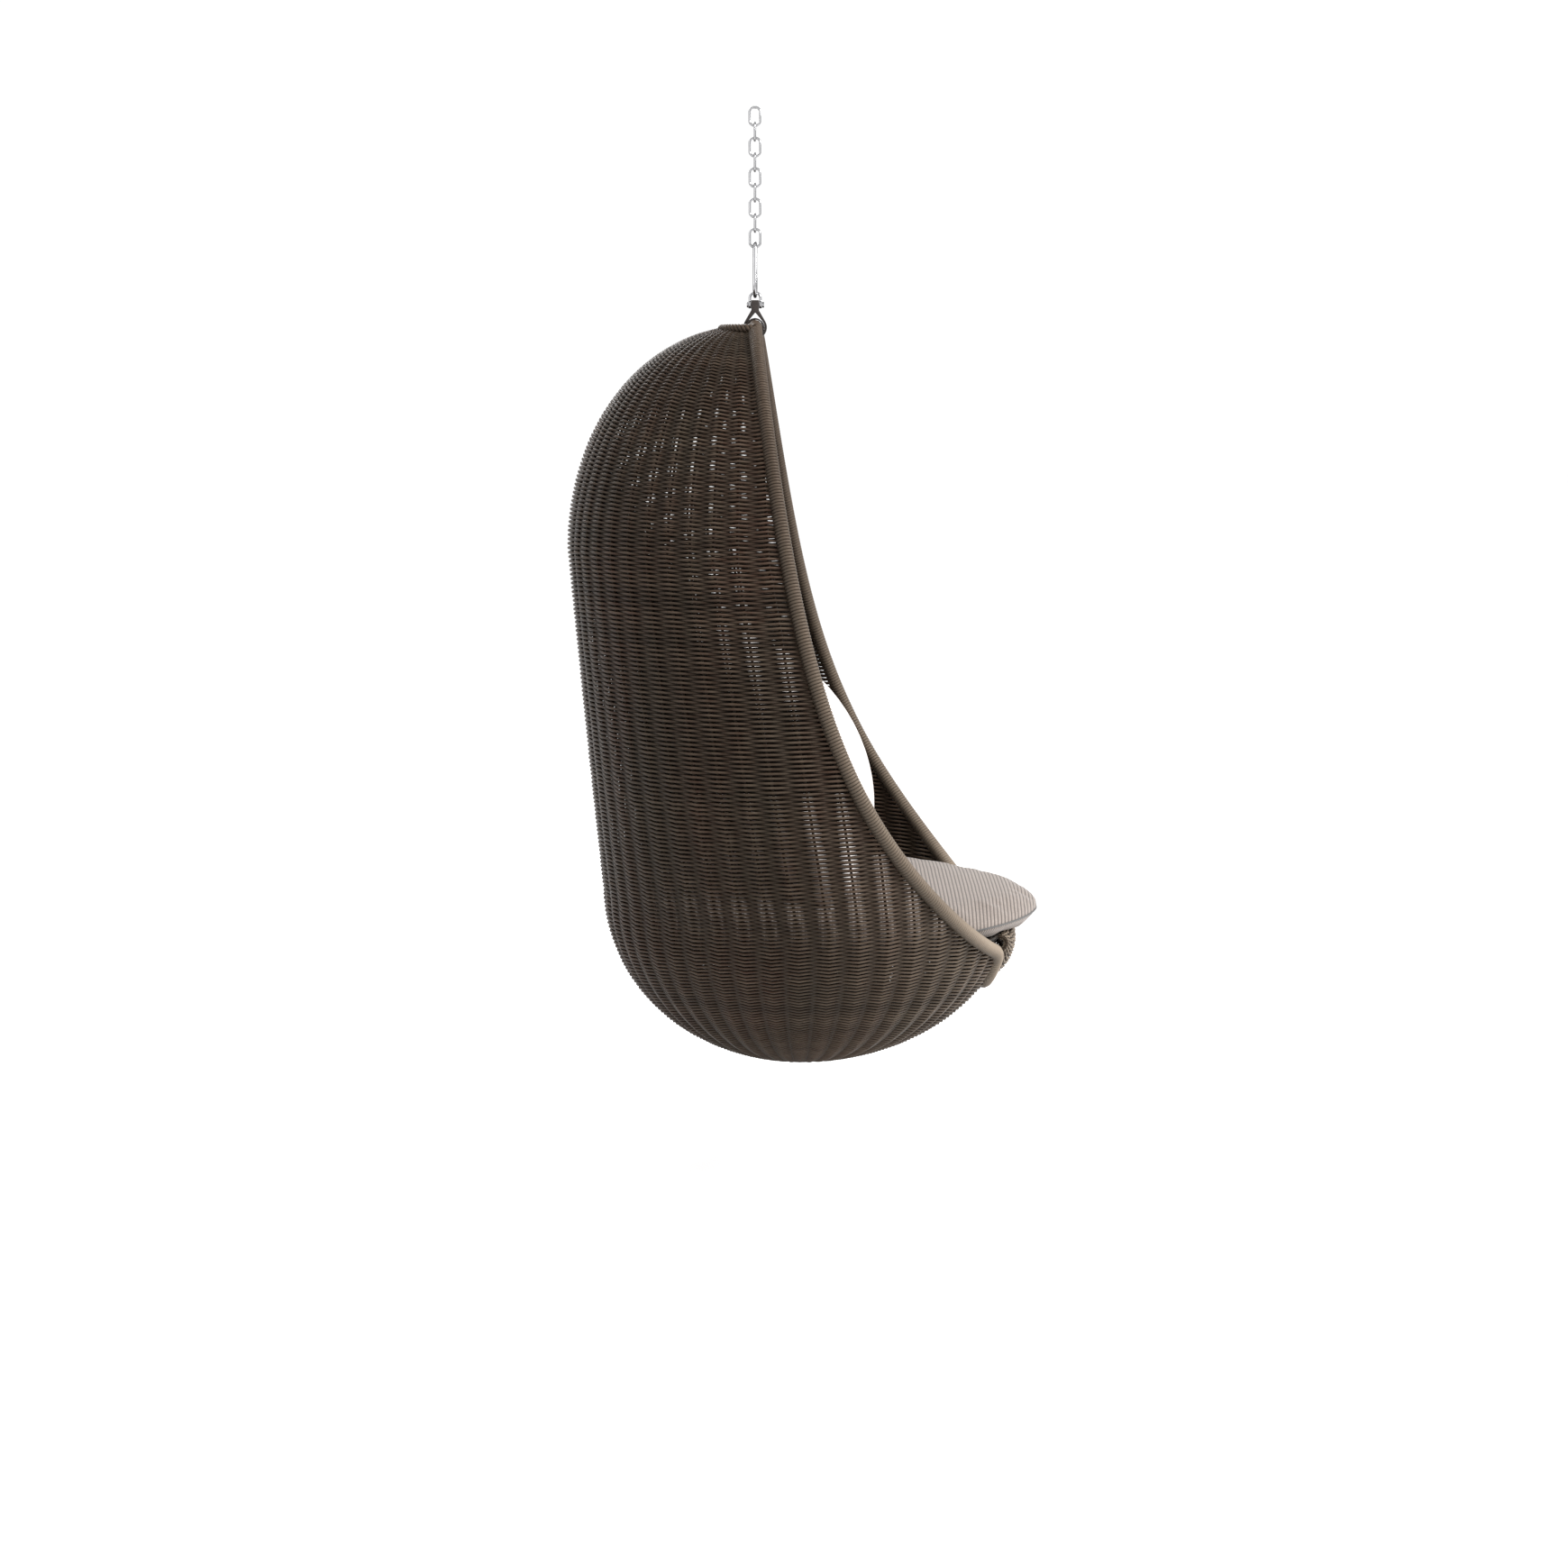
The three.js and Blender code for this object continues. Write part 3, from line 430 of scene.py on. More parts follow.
def wound_strand_tree():
    """A flat strand wound round every line of the guide, turn beside turn."""
    sizes = ["Wrap Radius", "Turn Spacing", "Strand Width", "Strand Thickness"]
    tree, given = new_geometry_tree("Wound strand", sizes, ["Points In A Turn"], ["Start Angle"])
    curve = add_node(tree, "GeometryNodeMeshToCurve", {"Mesh": given.outputs["Guide"]}).outputs[0]
    length = add_node(tree, "GeometryNodeCurveLength", {"Curve": curve}).outputs[0]
    ratio = add_math(tree, "DIVIDE", length, given.outputs["Turn Spacing"])
    turns = add_math(tree, "ROUND", ratio)
    count = add_math(tree, "MULTIPLY", turns, given.outputs["Points In A Turn"])
    even = add_node(tree, "GeometryNodeResampleCurve", {"Curve": curve, "Count": count}).outputs[0]
    share = add_node(tree, "GeometryNodeSplineParameter").outputs["Factor"]
    angle = add_math(tree, "MULTIPLY", add_math(tree, "MULTIPLY", share, turns), math.tau)
    angle = add_math(tree, "ADD", angle, given.outputs["Start Angle"])
    normal = add_node(tree, "GeometryNodeInputNormal").outputs[0]
    tangent = add_node(tree, "GeometryNodeInputTangent").outputs[0]
    across = add_vector_math(tree, "CROSS_PRODUCT", {0: tangent, 1: normal})
    one = add_vector_math(tree, "SCALE", {0: normal, "Scale": add_math(tree, "COSINE", angle)})
    two = add_vector_math(tree, "SCALE", {0: across, "Scale": add_math(tree, "SINE", angle)})
    radial = add_vector_math(tree, "ADD", {0: one, 1: two})
    kept = kept_attribute(tree, "FLOAT_VECTOR", "radial", even, radial)
    stored = named_attribute(tree, "FLOAT_VECTOR", "radial")
    half_thickness = add_math(tree, "MULTIPLY", given.outputs["Strand Thickness"], 0.5)
    reach = add_math(tree, "SUBTRACT", given.outputs["Wrap Radius"], half_thickness)
    offset = add_vector_math(tree, "SCALE", {0: stored, "Scale": reach})
    wound = add_node(tree, "GeometryNodeSetPosition", {"Geometry": kept, "Offset": offset}).outputs[0]
    inputs = {"Curve": wound, "Normal": stored}
    facing = add_node(tree, "GeometryNodeSetCurveNormal", inputs, mode="FREE").outputs[0]
    inputs = {"Resolution": WRAP_SIDES, "Radius": 0.5}
    circle = add_node(tree, "GeometryNodeCurvePrimitiveCircle", inputs).outputs[0]
    inputs = {"X": given.outputs["Strand Thickness"], "Y": given.outputs["Strand Width"], "Z": 1.0}
    flat = add_node(tree, "ShaderNodeCombineXYZ", inputs).outputs[0]
    oval = add_node(tree, "GeometryNodeTransform", {"Geometry": circle, "Scale": flat}).outputs[0]
    inputs = {"Curve": facing, "Profile Curve": oval, "Fill Caps": True}
    body = add_node(tree, "GeometryNodeCurveToMesh", inputs).outputs[0]
    end_geometry_tree(tree, given, body)
    return tree


def guide_mesh(name, lines, closed=(), attributes=None):
    """Lines of points as loose edges. Attributes are lists of values, one list for each line."""
    mesh = bpy.data.meshes.new(name)
    edges, start = [], 0
    for i, line in enumerate(lines):
        last = start + len(line) - 1
        edges += [(k, k + 1) for k in range(start, last)]
        if i in closed:
            edges.append((last, start))
        start = last + 1
    mesh.from_pydata([tuple(p) for line in lines for p in line], edges, [])
    for key, rows in (attributes or {}).items():
        values = np.concatenate([np.asarray(row, float) for row in rows])
        vector = values.ndim == 2
        layer = mesh.attributes.new(key, "FLOAT_VECTOR" if vector else "FLOAT", "POINT")
        layer.data.foreach_set("vector" if vector else "value", values.ravel())
    return mesh


def baked(name, guide, tree, values, material):
    """The plain mesh that a node tree makes of a guide."""
    host = bpy.data.objects.new(name, guide)
    bpy.context.scene.collection.objects.link(host)
    modifier = host.modifiers.new("Nodes", "NODES")
    modifier.node_group = tree
    given = [item for item in tree.interface.items_tree if item.in_out == "INPUT"]
    sockets = {item.name: item.identifier for item in given}
    for key, value in {**values, "Material": material}.items():
        modifier[sockets[key]] = value
    graph = bpy.context.evaluated_depsgraph_get()
    shaped = host.evaluated_get(graph)
    mesh = bpy.data.meshes.new_from_object(shaped, preserve_all_data_layers=True, depsgraph=graph)
    bpy.data.objects.remove(host)
    bpy.data.meshes.remove(guide)
    if not len(mesh.polygons):
        raise RuntimeError(f"{name} came out empty")
    mesh.name = name
    return mesh


def tree_named(name, maker):
    return bpy.data.node_groups.get(name) or maker()


def strands(name, lines, diameter, material, sides=6, wave=0.0, closed=(), attributes=None):
    tree = tree_named("Woven strands", woven_strand_tree)
    values = {"Strand Diameter": diameter, "Wave Height": wave, "Strand Sides": sides}
    attributes = {"girth": [np.ones(len(line)) for line in lines], **(attributes or {})}
    return baked(name, guide_mesh(name, lines, closed, attributes), tree, values, material)


def even_tone(lines, tone):
    return {"tone": [np.full(len(line), tone) for line in lines]}


def wound(name, line, radius, spacing, thickness, material, closed, starts=1, start=0):
    tree = tree_named("Wound strand", wound_strand_tree)
    values = {
        "Wrap Radius": radius,
        "Turn Spacing": spacing * starts,
        "Strand Width": spacing,
        "Strand Thickness": thickness,
        "Points In A Turn": WRAP_TURN_POINTS,
        "Start Angle": math.tau * start / starts,
    }
    return baked(name, guide_mesh(name, [line], (0,) if closed else ()), tree, values, material)


def put(name, mesh, material, body, slot, *nodes):
    """A finished piece on its body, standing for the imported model's nodes."""
    piece = bpy.data.objects.new(name, mesh)
    bpy.context.scene.collection.objects.link(piece)
    mesh.materials.clear()
    mesh.materials.append(material)
    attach(piece, body)
    if nodes:
        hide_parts(*nodes)
    return piece


def sharp_edges(body):
    joined = [edge for edge in body.edges if len(edge.link_faces) == 2]
    return [edge for edge in joined if edge.calc_face_angle() > EDGE_ANGLE]


def put_strands(name, lines, diameter, material, body, slot, *nodes, **how):
    """Strands along the lines as a finished piece."""
    put(name, strands(name, lines, diameter, material, **how), material, body, slot, *nodes)


def rounded_copy(node, width):
    """The node's own shape with its flat faces joined and its edges rounded."""
    body = bmesh.new()
    body.from_mesh(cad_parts[node].data)
    bmesh.ops.remove_doubles(body, verts=body.verts, dist=MERGE_DISTANCE)
    bmesh.ops.dissolve_limit(body, angle_limit=FLAT_ANGLE, verts=body.verts, edges=body.edges)
    rounding = {"offset": width, "segments": 2, "profile": 0.6, "clamp_overlap": True}
    bmesh.ops.bevel(body, geom=sharp_edges(body), affect="EDGES", **rounding)
    bmesh.ops.recalc_face_normals(body, faces=body.faces)
    mesh = bpy.data.meshes.new(node + "_rounded")
    body.to_mesh(mesh)
    body.free()
    mesh.shade_smooth()
    mesh.set_sharp_from_angle(angle=SMOOTH_ANGLE)
    return mesh


# Finishes

def new_finish(name, roughness, metallic=0.0):
    material = bpy.data.materials.new(name)
    material.use_nodes = True
    tree = material.node_tree
    shader = tree.nodes["Principled BSDF"]
    shader.inputs["Roughness"].default_value = roughness
    shader.inputs["Metallic"].default_value = metallic
    place = add_node(tree, "ShaderNodeTexCoord").outputs["Object"]
    return material, tree, shader, place


def add_noise(tree, place, scale, detail=2.0, stretch=None):
    if stretch:
        place = add_node(tree, "ShaderNodeMapping", {"Vector": place, "Scale": stretch}).outputs[0]
    inputs = {"Vector": place, "Scale": scale, "Detail": detail}
    return add_node(tree, "ShaderNodeTexNoise", inputs).outputs[0]


def add_range(tree, value, low, high, to_low, to_high):
    inputs = {"Value": value, "From Min": low, "From Max": high, "To Min": to_low, "To Max": to_high}
    return add_node(tree, "ShaderNodeMapRange", inputs).outputs[0]


def add_mix(tree, factor, one, two, blend="MIX"):
    inputs = {0: factor, 6: one, 7: two}
    return add_node(tree, "ShaderNodeMix", inputs, data_type="RGBA", blend_type=blend).outputs[2]


def paint(tree, shader, base):
    tree.links.new(base, shader.inputs["Base Color"])


def add_cloud(tree, place, scale, detail=2.0, low=0.3, high=0.7, stretch=None):
    """Noise spread out to run from 0 to 1."""
    return add_range(tree, add_noise(tree, place, scale, detail, stretch), low, high, 0, 1)


def add_bump(tree, shader, height, strength, distance):
    inputs = {"Strength": strength, "Distance": distance, "Height": height}
    bump = add_node(tree, "ShaderNodeBump", inputs).outputs[0]
    tree.links.new(bump, shader.inputs["Normal"])


def add_lift(tree, base, lift):
    """The colour times a number."""
    shade = add_node(tree, "ShaderNodeCombineColor", {0: lift, 1: lift, 2: lift}).outputs[0]
    return add_mix(tree, 1.0, base, shade, "MULTIPLY")


def add_painted_light(tree, base, low, high):
    """Painted light and shade: the colour darker on sides that face down and back, lighter on those that face
    up and forwards, as if lit from there.
    """
    facing = add_node(tree, "ShaderNodeTexCoord").outputs["Normal"]
    sun = add_vector_math(tree, "DOT_PRODUCT", {0: facing, 1: (0.62, -0.1, 0.78)}, "Value")
    return add_lift(tree, base, add_range(tree, sun, -0.7, 0.7, low, high))


def add_threads_wave(tree, value, spacing):
    """A wave across parallel threads or lines, from -1 to 1."""
    return add_math(tree, "SINE", add_math(tree, "MULTIPLY", value, math.pi / spacing))


def rgba(colour, factor=1.0):
    return (*(c * factor for c in colour[:3]), 1.0)


def strand_finish(name, colour, warm, pale, roughness):
    """A satin man-made strand: darker and lighter rows, warm stretches, fine grain, painted shade on the side
    that turns to each stake, painted light low at the front, and painted light and shade by which way a side
    faces.
    """
    material, tree, shader, place = new_finish(name, roughness)
    shader.inputs["Specular IOR Level"].default_value = 0.16
    shader.inputs["Specular Tint"].default_value = (1.0, 0.84, 0.7, 1.0)
    tone = add_node(tree, "ShaderNodeAttribute", attribute_name="tone").outputs["Fac"]
    wide = add_cloud(tree, place, 7.0, 3.0, 0.35, 0.65, (1, 1, 0.35))
    streak = add_cloud(tree, place, 60.0, stretch=(1, 1, 3))
    base = add_mix(tree, wide, rgba(colour), rgba(warm))
    base = add_mix(tree, add_math(tree, "MULTIPLY", streak, 0.45), base, rgba(pale))
    # Painted light: the weave is paler low down at the front of the pod.
    split = add_node(tree, "ShaderNodeSeparateXYZ", {0: place}).outputs
    front = add_range(tree, split["X"], 0.05, 0.42, 0, 1)
    low = add_range(tree, split["Z"], -0.95, -1.3, 0, 0.6)
    base = add_mix(tree, add_math(tree, "MULTIPLY", front, low), base, rgba(pale, 1.3))
    # Painted shade: a strand is darker on the side that turns to its stake and lighter on the side that turns
    # away.
    side = add_node(tree, "ShaderNodeAttribute", attribute_name="open").outputs["Fac"]
    wear_and_stake_shade = add_range(tree, side, -0.6, 0.7, 0.08, 1.4)
    lift = add_math(tree, "MULTIPLY", add_range(tree, tone, 0, 1, 0.62, 1.3), wear_and_stake_shade)
    base = add_painted_light(tree, add_lift(tree, base, lift), 0.6, 1.3)
    paint(tree, shader, base)
    rough = add_range(tree, streak, 0, 1, roughness - 0.08, roughness + 0.1)
    tree.links.new(rough, shader.inputs["Roughness"])
    add_bump(tree, shader, add_noise(tree, place, 900.0, 3.0), 0.25, 0.0004)
    return material


def wrap_finish(name, colour, dark, pale):
    """The rim's strand: taupe with darker turns, with painted light making it paler lower down and most at
    the front corners, and painted light and shade by which way a side faces.
    """
    material, tree, shader, place = new_finish(name, 0.5)
    shader.inputs["Specular IOR Level"].default_value = 0.25
    shader.inputs["Specular Tint"].default_value = (1.0, 0.88, 0.76, 1.0)
    fine = add_cloud(tree, place, 140.0)
    wide = add_cloud(tree, place, 14.0, 3.0, 0.35, 0.65)
    base = add_mix(tree, add_math(tree, "MULTIPLY", fine, 0.55), rgba(colour), rgba(dark))
    base = add_mix(tree, add_math(tree, "MULTIPLY", wide, 0.5), base, rgba(colour, 0.72))
    # Painted light: paler lower down on the rim, and most at its front corners.
    height = add_node(tree, "ShaderNodeSeparateXYZ", {0: place}).outputs["Z"]
    long_painted_light = add_range(tree, height, -0.55, -1.25, 0, 0.4)
    corner_painted_light = add_range(tree, height, -1.24, -1.34, 0, 0.5)
    low = add_math(tree, "ADD", long_painted_light, corner_painted_light)
    base = add_painted_light(tree, add_mix(tree, low, base, rgba(pale)), 0.3, 1.3)
    paint(tree, shader, base)
    add_bump(tree, shader, add_noise(tree, place, 700.0, 2.0), 0.2, 0.0004)
    return material


def chrome_finish(name, colour):
    material, tree, shader, place = new_finish(name, 0.14, 1.0)
    smear = add_noise(tree, place, 90.0, 4.0)
    base = add_mix(tree, add_range(tree, smear, 0.3, 0.7, 0, 1), rgba(colour), rgba(colour, 0.86))
    # Painted reflection: a dark band on the chrome where its surface turns halfway from the camera.
    facing = add_node(tree, "ShaderNodeLayerWeight", {"Blend": 0.5}).outputs["Facing"]
    away = add_math(tree, "ABSOLUTE", add_math(tree, "SUBTRACT", facing, 0.5))
    base = add_mix(tree, add_range(tree, away, 0.05, 0.2, 0.85, 0), base, rgba(colour, 0.08))
    paint(tree, shader, base)
    tree.links.new(add_range(tree, smear, 0.3, 0.7, 0.08, 0.26), shader.inputs["Roughness"])
    add_bump(tree, shader, add_noise(tree, place, 1200.0, 2.0, (1, 1, 0.1)), 0.05, 0.0002)
    return material


def metal_finish(name, colour):
    material, tree, shader, place = new_finish(name, 0.45, 0.8)
    cloud = add_cloud(tree, place, 25.0, 4.0)
    paint(tree, shader, add_mix(tree, cloud, rgba(colour), rgba(colour, 0.75)))
    tree.links.new(add_range(tree, cloud, 0, 1, 0.36, 0.55), shader.inputs["Roughness"])
    add_bump(tree, shader, add_noise(tree, place, 1500.0, 2.0), 0.1, 0.0002)
    return material


def webbing_finish(name, colour):
    """Dark strap cloth with a fine cross weave and worn, paler threads."""
    material, tree, shader, place = new_finish(name, 0.75)
    split = add_node(tree, "ShaderNodeSeparateXYZ", {0: place})
    spacing = math.pi / 4200
    weave = add_math(tree, "MULTIPLY", *(add_threads_wave(tree, split.outputs[i], spacing) for i in (1, 2)))
    wear_and_stake_shade = add_cloud(tree, place, 160.0, 3.0, 0.35)
    base = add_mix(tree, add_math(tree, "MULTIPLY", wear_and_stake_shade, 0.6), rgba(colour), rgba(colour, 2.4))
    base = add_mix(tree, add_range(tree, weave, -1, 1, 0, 0.35), base, rgba(colour, 0.5))
    paint(tree, shader, base)
    shader.inputs["Sheen Weight"].default_value = 0.15
    add_bump(tree, shader, weave, 0.3, 0.0004)
    return material


def deck_finish(name, colour):
    """A closely woven panel: dashes over and under lengthwise stakes."""
    material, tree, shader, place = new_finish(name, 0.6)
    split = add_node(tree, "ShaderNodeSeparateXYZ", {0: place})
    row = add_threads_wave(tree, split.outputs[0], 0.004)
    stake = add_threads_wave(tree, split.outputs[1], 0.03)
    weave = add_math(tree, "MULTIPLY", row, stake)
    cloud = add_cloud(tree, place, 30.0, 3.0)
    base = add_mix(tree, cloud, rgba(colour), rgba(colour, 0.7))
    base = add_mix(tree, add_range(tree, weave, -1, 0.2, 0.75, 0), base, rgba(colour, 0.2))
    paint(tree, shader, base)
    add_bump(tree, shader, weave, 0.6, 0.002)
    return material


def add_threads(tree, place, spacing):
    """The over and under of plain cloth, between 0 and 1."""
    split = add_node(tree, "ShaderNodeSeparateXYZ", {0: place})
    sums = [add_math(tree, "ADD", split.outputs[0], split.outputs[2]), split.outputs[1]]
    waves = [add_threads_wave(tree, value, spacing) for value in sums]
    return add_range(tree, add_math(tree, "MULTIPLY", *waves), -1, 1, 0, 1)


def striped_finish(name, colour, line_colour, spacing):
    """Cushion cloth: ribs across the seat on top and upright on the band, with darker lines between."""
    material, tree, shader, place = new_finish(name, 0.9)
    across = add_node(tree, "ShaderNodeAttribute", attribute_name="stripe").outputs["Fac"]
    wobble = add_math(tree, "MULTIPLY", add_noise(tree, place, 35.0, 2.0), 0.0011)
    along = add_math(tree, "ADD", across, wobble)
    rib = add_math(tree, "SINE", add_math(tree, "MULTIPLY", along, math.tau / spacing))
    line = add_range(tree, rib, -0.95, -0.1, 1, 0)
    threads = add_threads(tree, place, 0.0009)
    mottle = add_cloud(tree, place, 220.0, 3.0)
    base = add_mix(tree, mottle, rgba(colour), rgba(colour, 0.84))
    base = add_mix(tree, line, base, rgba(line_colour))
    base = add_mix(tree, add_math(tree, "MULTIPLY", threads, 0.18), base, rgba(line_colour, 0.8))
    paint(tree, shader, base)
    shader.inputs["Sheen Weight"].default_value = 0.2
    height = add_math(tree, "ADD", rib, add_math(tree, "MULTIPLY", threads, 0.35))
    add_bump(tree, shader, height, 0.4, 0.0006)
    return material


def plain_cloth_finish(name, colour, tint):
    """Soft cloth with a faint second tint in patches."""
    material, tree, shader, place = new_finish(name, 0.92)
    patch = add_cloud(tree, place, 18.0, 5.0, 0.4, 0.72)
    fleck = add_cloud(tree, place, 320.0, 2.0, 0.45, 0.75)
    base = add_mix(tree, add_math(tree, "MULTIPLY", patch, 0.45), rgba(colour), rgba(tint))
    base = add_mix(tree, add_math(tree, "MULTIPLY", fleck, 0.25), base, rgba(tint, 0.85))
    threads = add_threads(tree, place, CLOTH_THREAD)
    base = add_mix(tree, add_math(tree, "MULTIPLY", threads, 0.1), base, rgba(tint, 0.7))
    paint(tree, shader, base)
    shader.inputs["Sheen Weight"].default_value = 0.25
    add_bump(tree, shader, threads, 0.25, 0.0004)
    return material


# The woven shell

def in_shell(point, drop):
    """Whether the weave is closed at a point of the egg: behind the rim, and clear of the top ring."""
    edge = np.interp(drop, RIM_SIDE[:, 1], RIM_SIDE[:, 0]) - EDGE_SETBACK
    behind = (drop > RIM_RAIL_DROP) | (point[..., 0] < edge)
    clear = (np.hypot(point[..., 0], point[..., 1]) > RING_RADIUS) | (drop > BOWL_DROP)
    return behind & clear


class Meridians:
    """Lines down the egg at even angles, each measured along its own length."""

    def __init__(self, inset, columns):
        self.inset = inset
        self.angles = np.linspace(-math.pi, math.pi, columns + 1)
        bottom = BOWL_DROP + BOWL_DEPTH - inset
        turns = np.linspace(0, math.pi, MERIDIAN_STEPS)
        self.drops = lerp(inset, bottom, (1 - np.cos(turns)) / 2)
        grid = egg_point(self.angles[:, None], self.drops[None, :], inset)
        steps = np.linalg.norm(np.diff(grid, axis=1), axis=2)
        lengths = np.concatenate([np.zeros((len(self.angles), 1)), np.cumsum(steps, axis=1)], axis=1)
        self.side_length = float(np.interp(math.pi / 2, self.angles, lengths[:, -1]))
        self.stretch = lengths[:, -1] / self.side_length
        self.shares = lengths / lengths[:, -1:]

    def drop_at(self, angle, share):
        """The drop at one share of the way down, for a single angle."""
        return np.interp(angle, self.angles, self.row(share))

    def row(self, share):
        return np.array([np.interp(share, row, self.drops) for row in self.shares])


def egg_outward(angle, drop, inset):
    """Unit vectors square to the egg's skin."""
    step, turn = 0.4, 0.004
    along = egg_point(angle, drop + step, inset) - egg_point(angle, drop - step, inset)
    side = egg_point(angle + turn, drop, inset) - egg_point(angle - turn, drop, inset)
    out = np.cross(along, side)
    return out / np.maximum(np.linalg.norm(out, axis=-1, keepdims=True), 1e-9)


def drift_at(*place):
    return noise.noise(Vector(place))


def runs_of(flags):
    """First and last index of each unbroken run of true flags."""
    padded = np.concatenate([[False], flags, [False]]).astype(int)
    change = np.diff(padded)
    return list(zip(np.flatnonzero(change == 1), np.flatnonzero(change == -1) - 1))


def row_end(web, drops, at, beside):
    """The way from one point of a row to the next at which the weave ends."""
    low, high = 0.0, 1.0
    for _ in range(END_HALVINGS):
        middle = (low + high) / 2
        angle = lerp(web.angles[at], web.angles[beside], middle)
        drop = lerp(drops[at], drops[beside], middle)
        if in_shell(egg_point(angle, drop, WEAVE_INSET), drop):
            low = middle
        else:
            high = middle
    return low


def woven_rows(spacing, samples, seed):
    """Strand lines of the shell, with what each point needs to wave and to take its tone."""
    chance = random.Random(seed)
    web = Meridians(WEAVE_INSET, STAKE_COUNT * samples)
    girth = np.clip(web.stretch, 1, None)
    lines, outwards, phases, tones, girths, closed = [], [], [], [], [], set()
    share, step = 0.0, 1.0 / int(web.side_length / (spacing / MM))
    number = 0
    while True:
        drift = ROW_DRIFT * drift_at(number * ROW_DRIFT_RATE, 0.3, 0)
        share += step * (1 + drift + chance.uniform(-ROW_JITTER, ROW_JITTER))
        if share > WEAVE_END_SHARE:
            break
        number += 1
        drops = web.row(share)
        points = egg_point(web.angles, drops, WEAVE_INSET)
        inside = in_shell(points, drops)
        pitch = np.linalg.norm(np.roll(points, -1, axis=0) - points, axis=1) * samples
        factor = np.clip(np.append(pitch[:-1], pitch[-2]) / WAVE_FULL_PITCH, WAVE_LEAST_SHARE, 1.0)
        round_rate, down_rate = WAVE_DRIFT_RATES
        wobble = np.array([drift_at(a * round_rate, number * down_rate, 1.7) for a in web.angles])
        factor = factor * (1 + WAVE_UNEVENNESS * wobble)
        outward = egg_outward(web.angles, drops, WEAVE_INSET) * factor[:, None]
        phase = web.angles / math.tau * STAKE_COUNT * math.pi + number * math.pi
        drift = TONE_DRIFT * drift_at(number * TONE_DRIFT_RATE, 5.1, 0)
        tone = 0.5 + drift + chance.uniform(-TONE_JITTER, TONE_JITTER)
        whole = inside.all()
        if whole:
            closed.add(len(lines))
        runs = [(0, len(points) - 2)] if whole else runs_of(inside)
        for first, last in runs:
            if last - first < SHORTEST_RUN:
                continue
            part = slice(first, last + 1)
            columns = [list(values[part]) for values in (points, outward, phase, girth)]
            ends = () if whole else ((first, first - 1), (last, last + 1))
            for at, beside in ends:
                if not 0 <= beside < len(points):
                    continue
                way = row_end(web, drops, at, beside)
                angle = lerp(web.angles[at], web.angles[beside], way)
                drop = lerp(drops[at], drops[beside], way)
                turned = lerp(phase[at], phase[beside], way)
                extra = (egg_point(angle, drop, WEAVE_INSET), outward[at], turned, girth[at])
                index = 0 if beside < at else len(columns[0])
                for column, value in zip(columns, extra):
                    column.insert(index, value)
            lines.append(row_frame(columns[0]))
            for kept, column in zip((outwards, phases, girths), columns[1:]):
                kept.append(np.array(column))
            tones.append(np.full(len(columns[0]), tone))
    attributes = {"outward": outwards, "phase": phases, "girth": girths, "tone": tones}
    return lines, attributes, closed


def stake_lines():
    """The upright stakes, from the top ring or the rim down to the hub."""
    web = Meridians(WEAVE_INSET, STAKE_COUNT)
    shares = np.linspace(0.0, STAKE_END_SHARE, STAKE_STEPS)
    lines = []
    for angle, row in zip(web.angles[:-1], web.shares[:-1]):
        drops = np.interp(shares, row, web.drops)
        points = egg_point(np.full(len(drops), angle), drops, WEAVE_INSET)
        for first, last in runs_of(in_shell(points, drops)):
            if last - first >= SHORTEST_RUN:
                lines.append(row_frame(points[first:last + 1]))
    return lines


def hub_line():
    """One strand coiled flat over the place where the stakes meet under the bowl."""
    web = Meridians(WEAVE_INSET, STAKE_COUNT)
    turns = int(web.side_length * (1 - HUB_START_SHARE) / HUB_SPACING)
    steps = turns * HUB_STEPS
    line = []
    for i in range(steps):
        share = lerp(HUB_START_SHARE, HUB_END_SHARE, i / steps)
        angle = (i / HUB_STEPS * math.tau + math.pi) % math.tau - math.pi
        drop = web.drop_at(angle, share)
        line.append(egg_point(angle, drop, WEAVE_INSET - HUB_SINK))
    return row_frame(line)


# Soft pieces

def superellipse(angle, spread):
    c, s = math.cos(angle), math.sin(angle)
    power = 2 / CUSHION_FRONT_POWER if c > 0 else 1
    reach = CUSHION_FRONT + CUSHION_TIP_REACH * c ** 4 if c > 0 else CUSHION_BACK
    x = CUSHION_CENTRE + spread * reach * math.copysign(abs(c) ** power, c)
    eased = ((s * s + CUSHION_TIP_EASE) / (1 + CUSHION_TIP_EASE)) ** ((power - 1) / 2)
    y = spread * CUSHION_HALF * s * eased
    return x, y


def lofted(name, rings):
    """A closed mesh from rings of points, whose first and last rings are single points."""
    body = bmesh.new()
    bottom, top = body.verts.new(rings[0][0]), body.verts.new(rings[-1][0])
    made = [[body.verts.new(p) for p in ring] for ring in rings[1:-1]]
    count = len(made[0])
    for k in range(count):
        after = (k + 1) % count
        body.faces.new((bottom, made[0][after], made[0][k]))
        body.faces.new((top, made[-1][k], made[-1][after]))
        for low, high in zip(made, made[1:]):
            body.faces.new((low[k], low[after], high[after], high[k]))
    bmesh.ops.recalc_face_normals(body, faces=body.faces)
    mesh = bpy.data.meshes.new(name)
    body.to_mesh(mesh)
    body.free()
    return mesh


def positions(mesh):
    values = np.empty(len(mesh.vertices) * 3)
    mesh.vertices.foreach_get("co", values)
    return values.reshape(-1, 3)


def set_positions(mesh, values):
    mesh.vertices.foreach_set("co", np.asarray(values, float).ravel())
    mesh.update()


def evaluated_mesh(piece):
    graph = bpy.context.evaluated_depsgraph_get()
    return bpy.data.meshes.new_from_object(piece.evaluated_get(graph), depsgraph=graph)


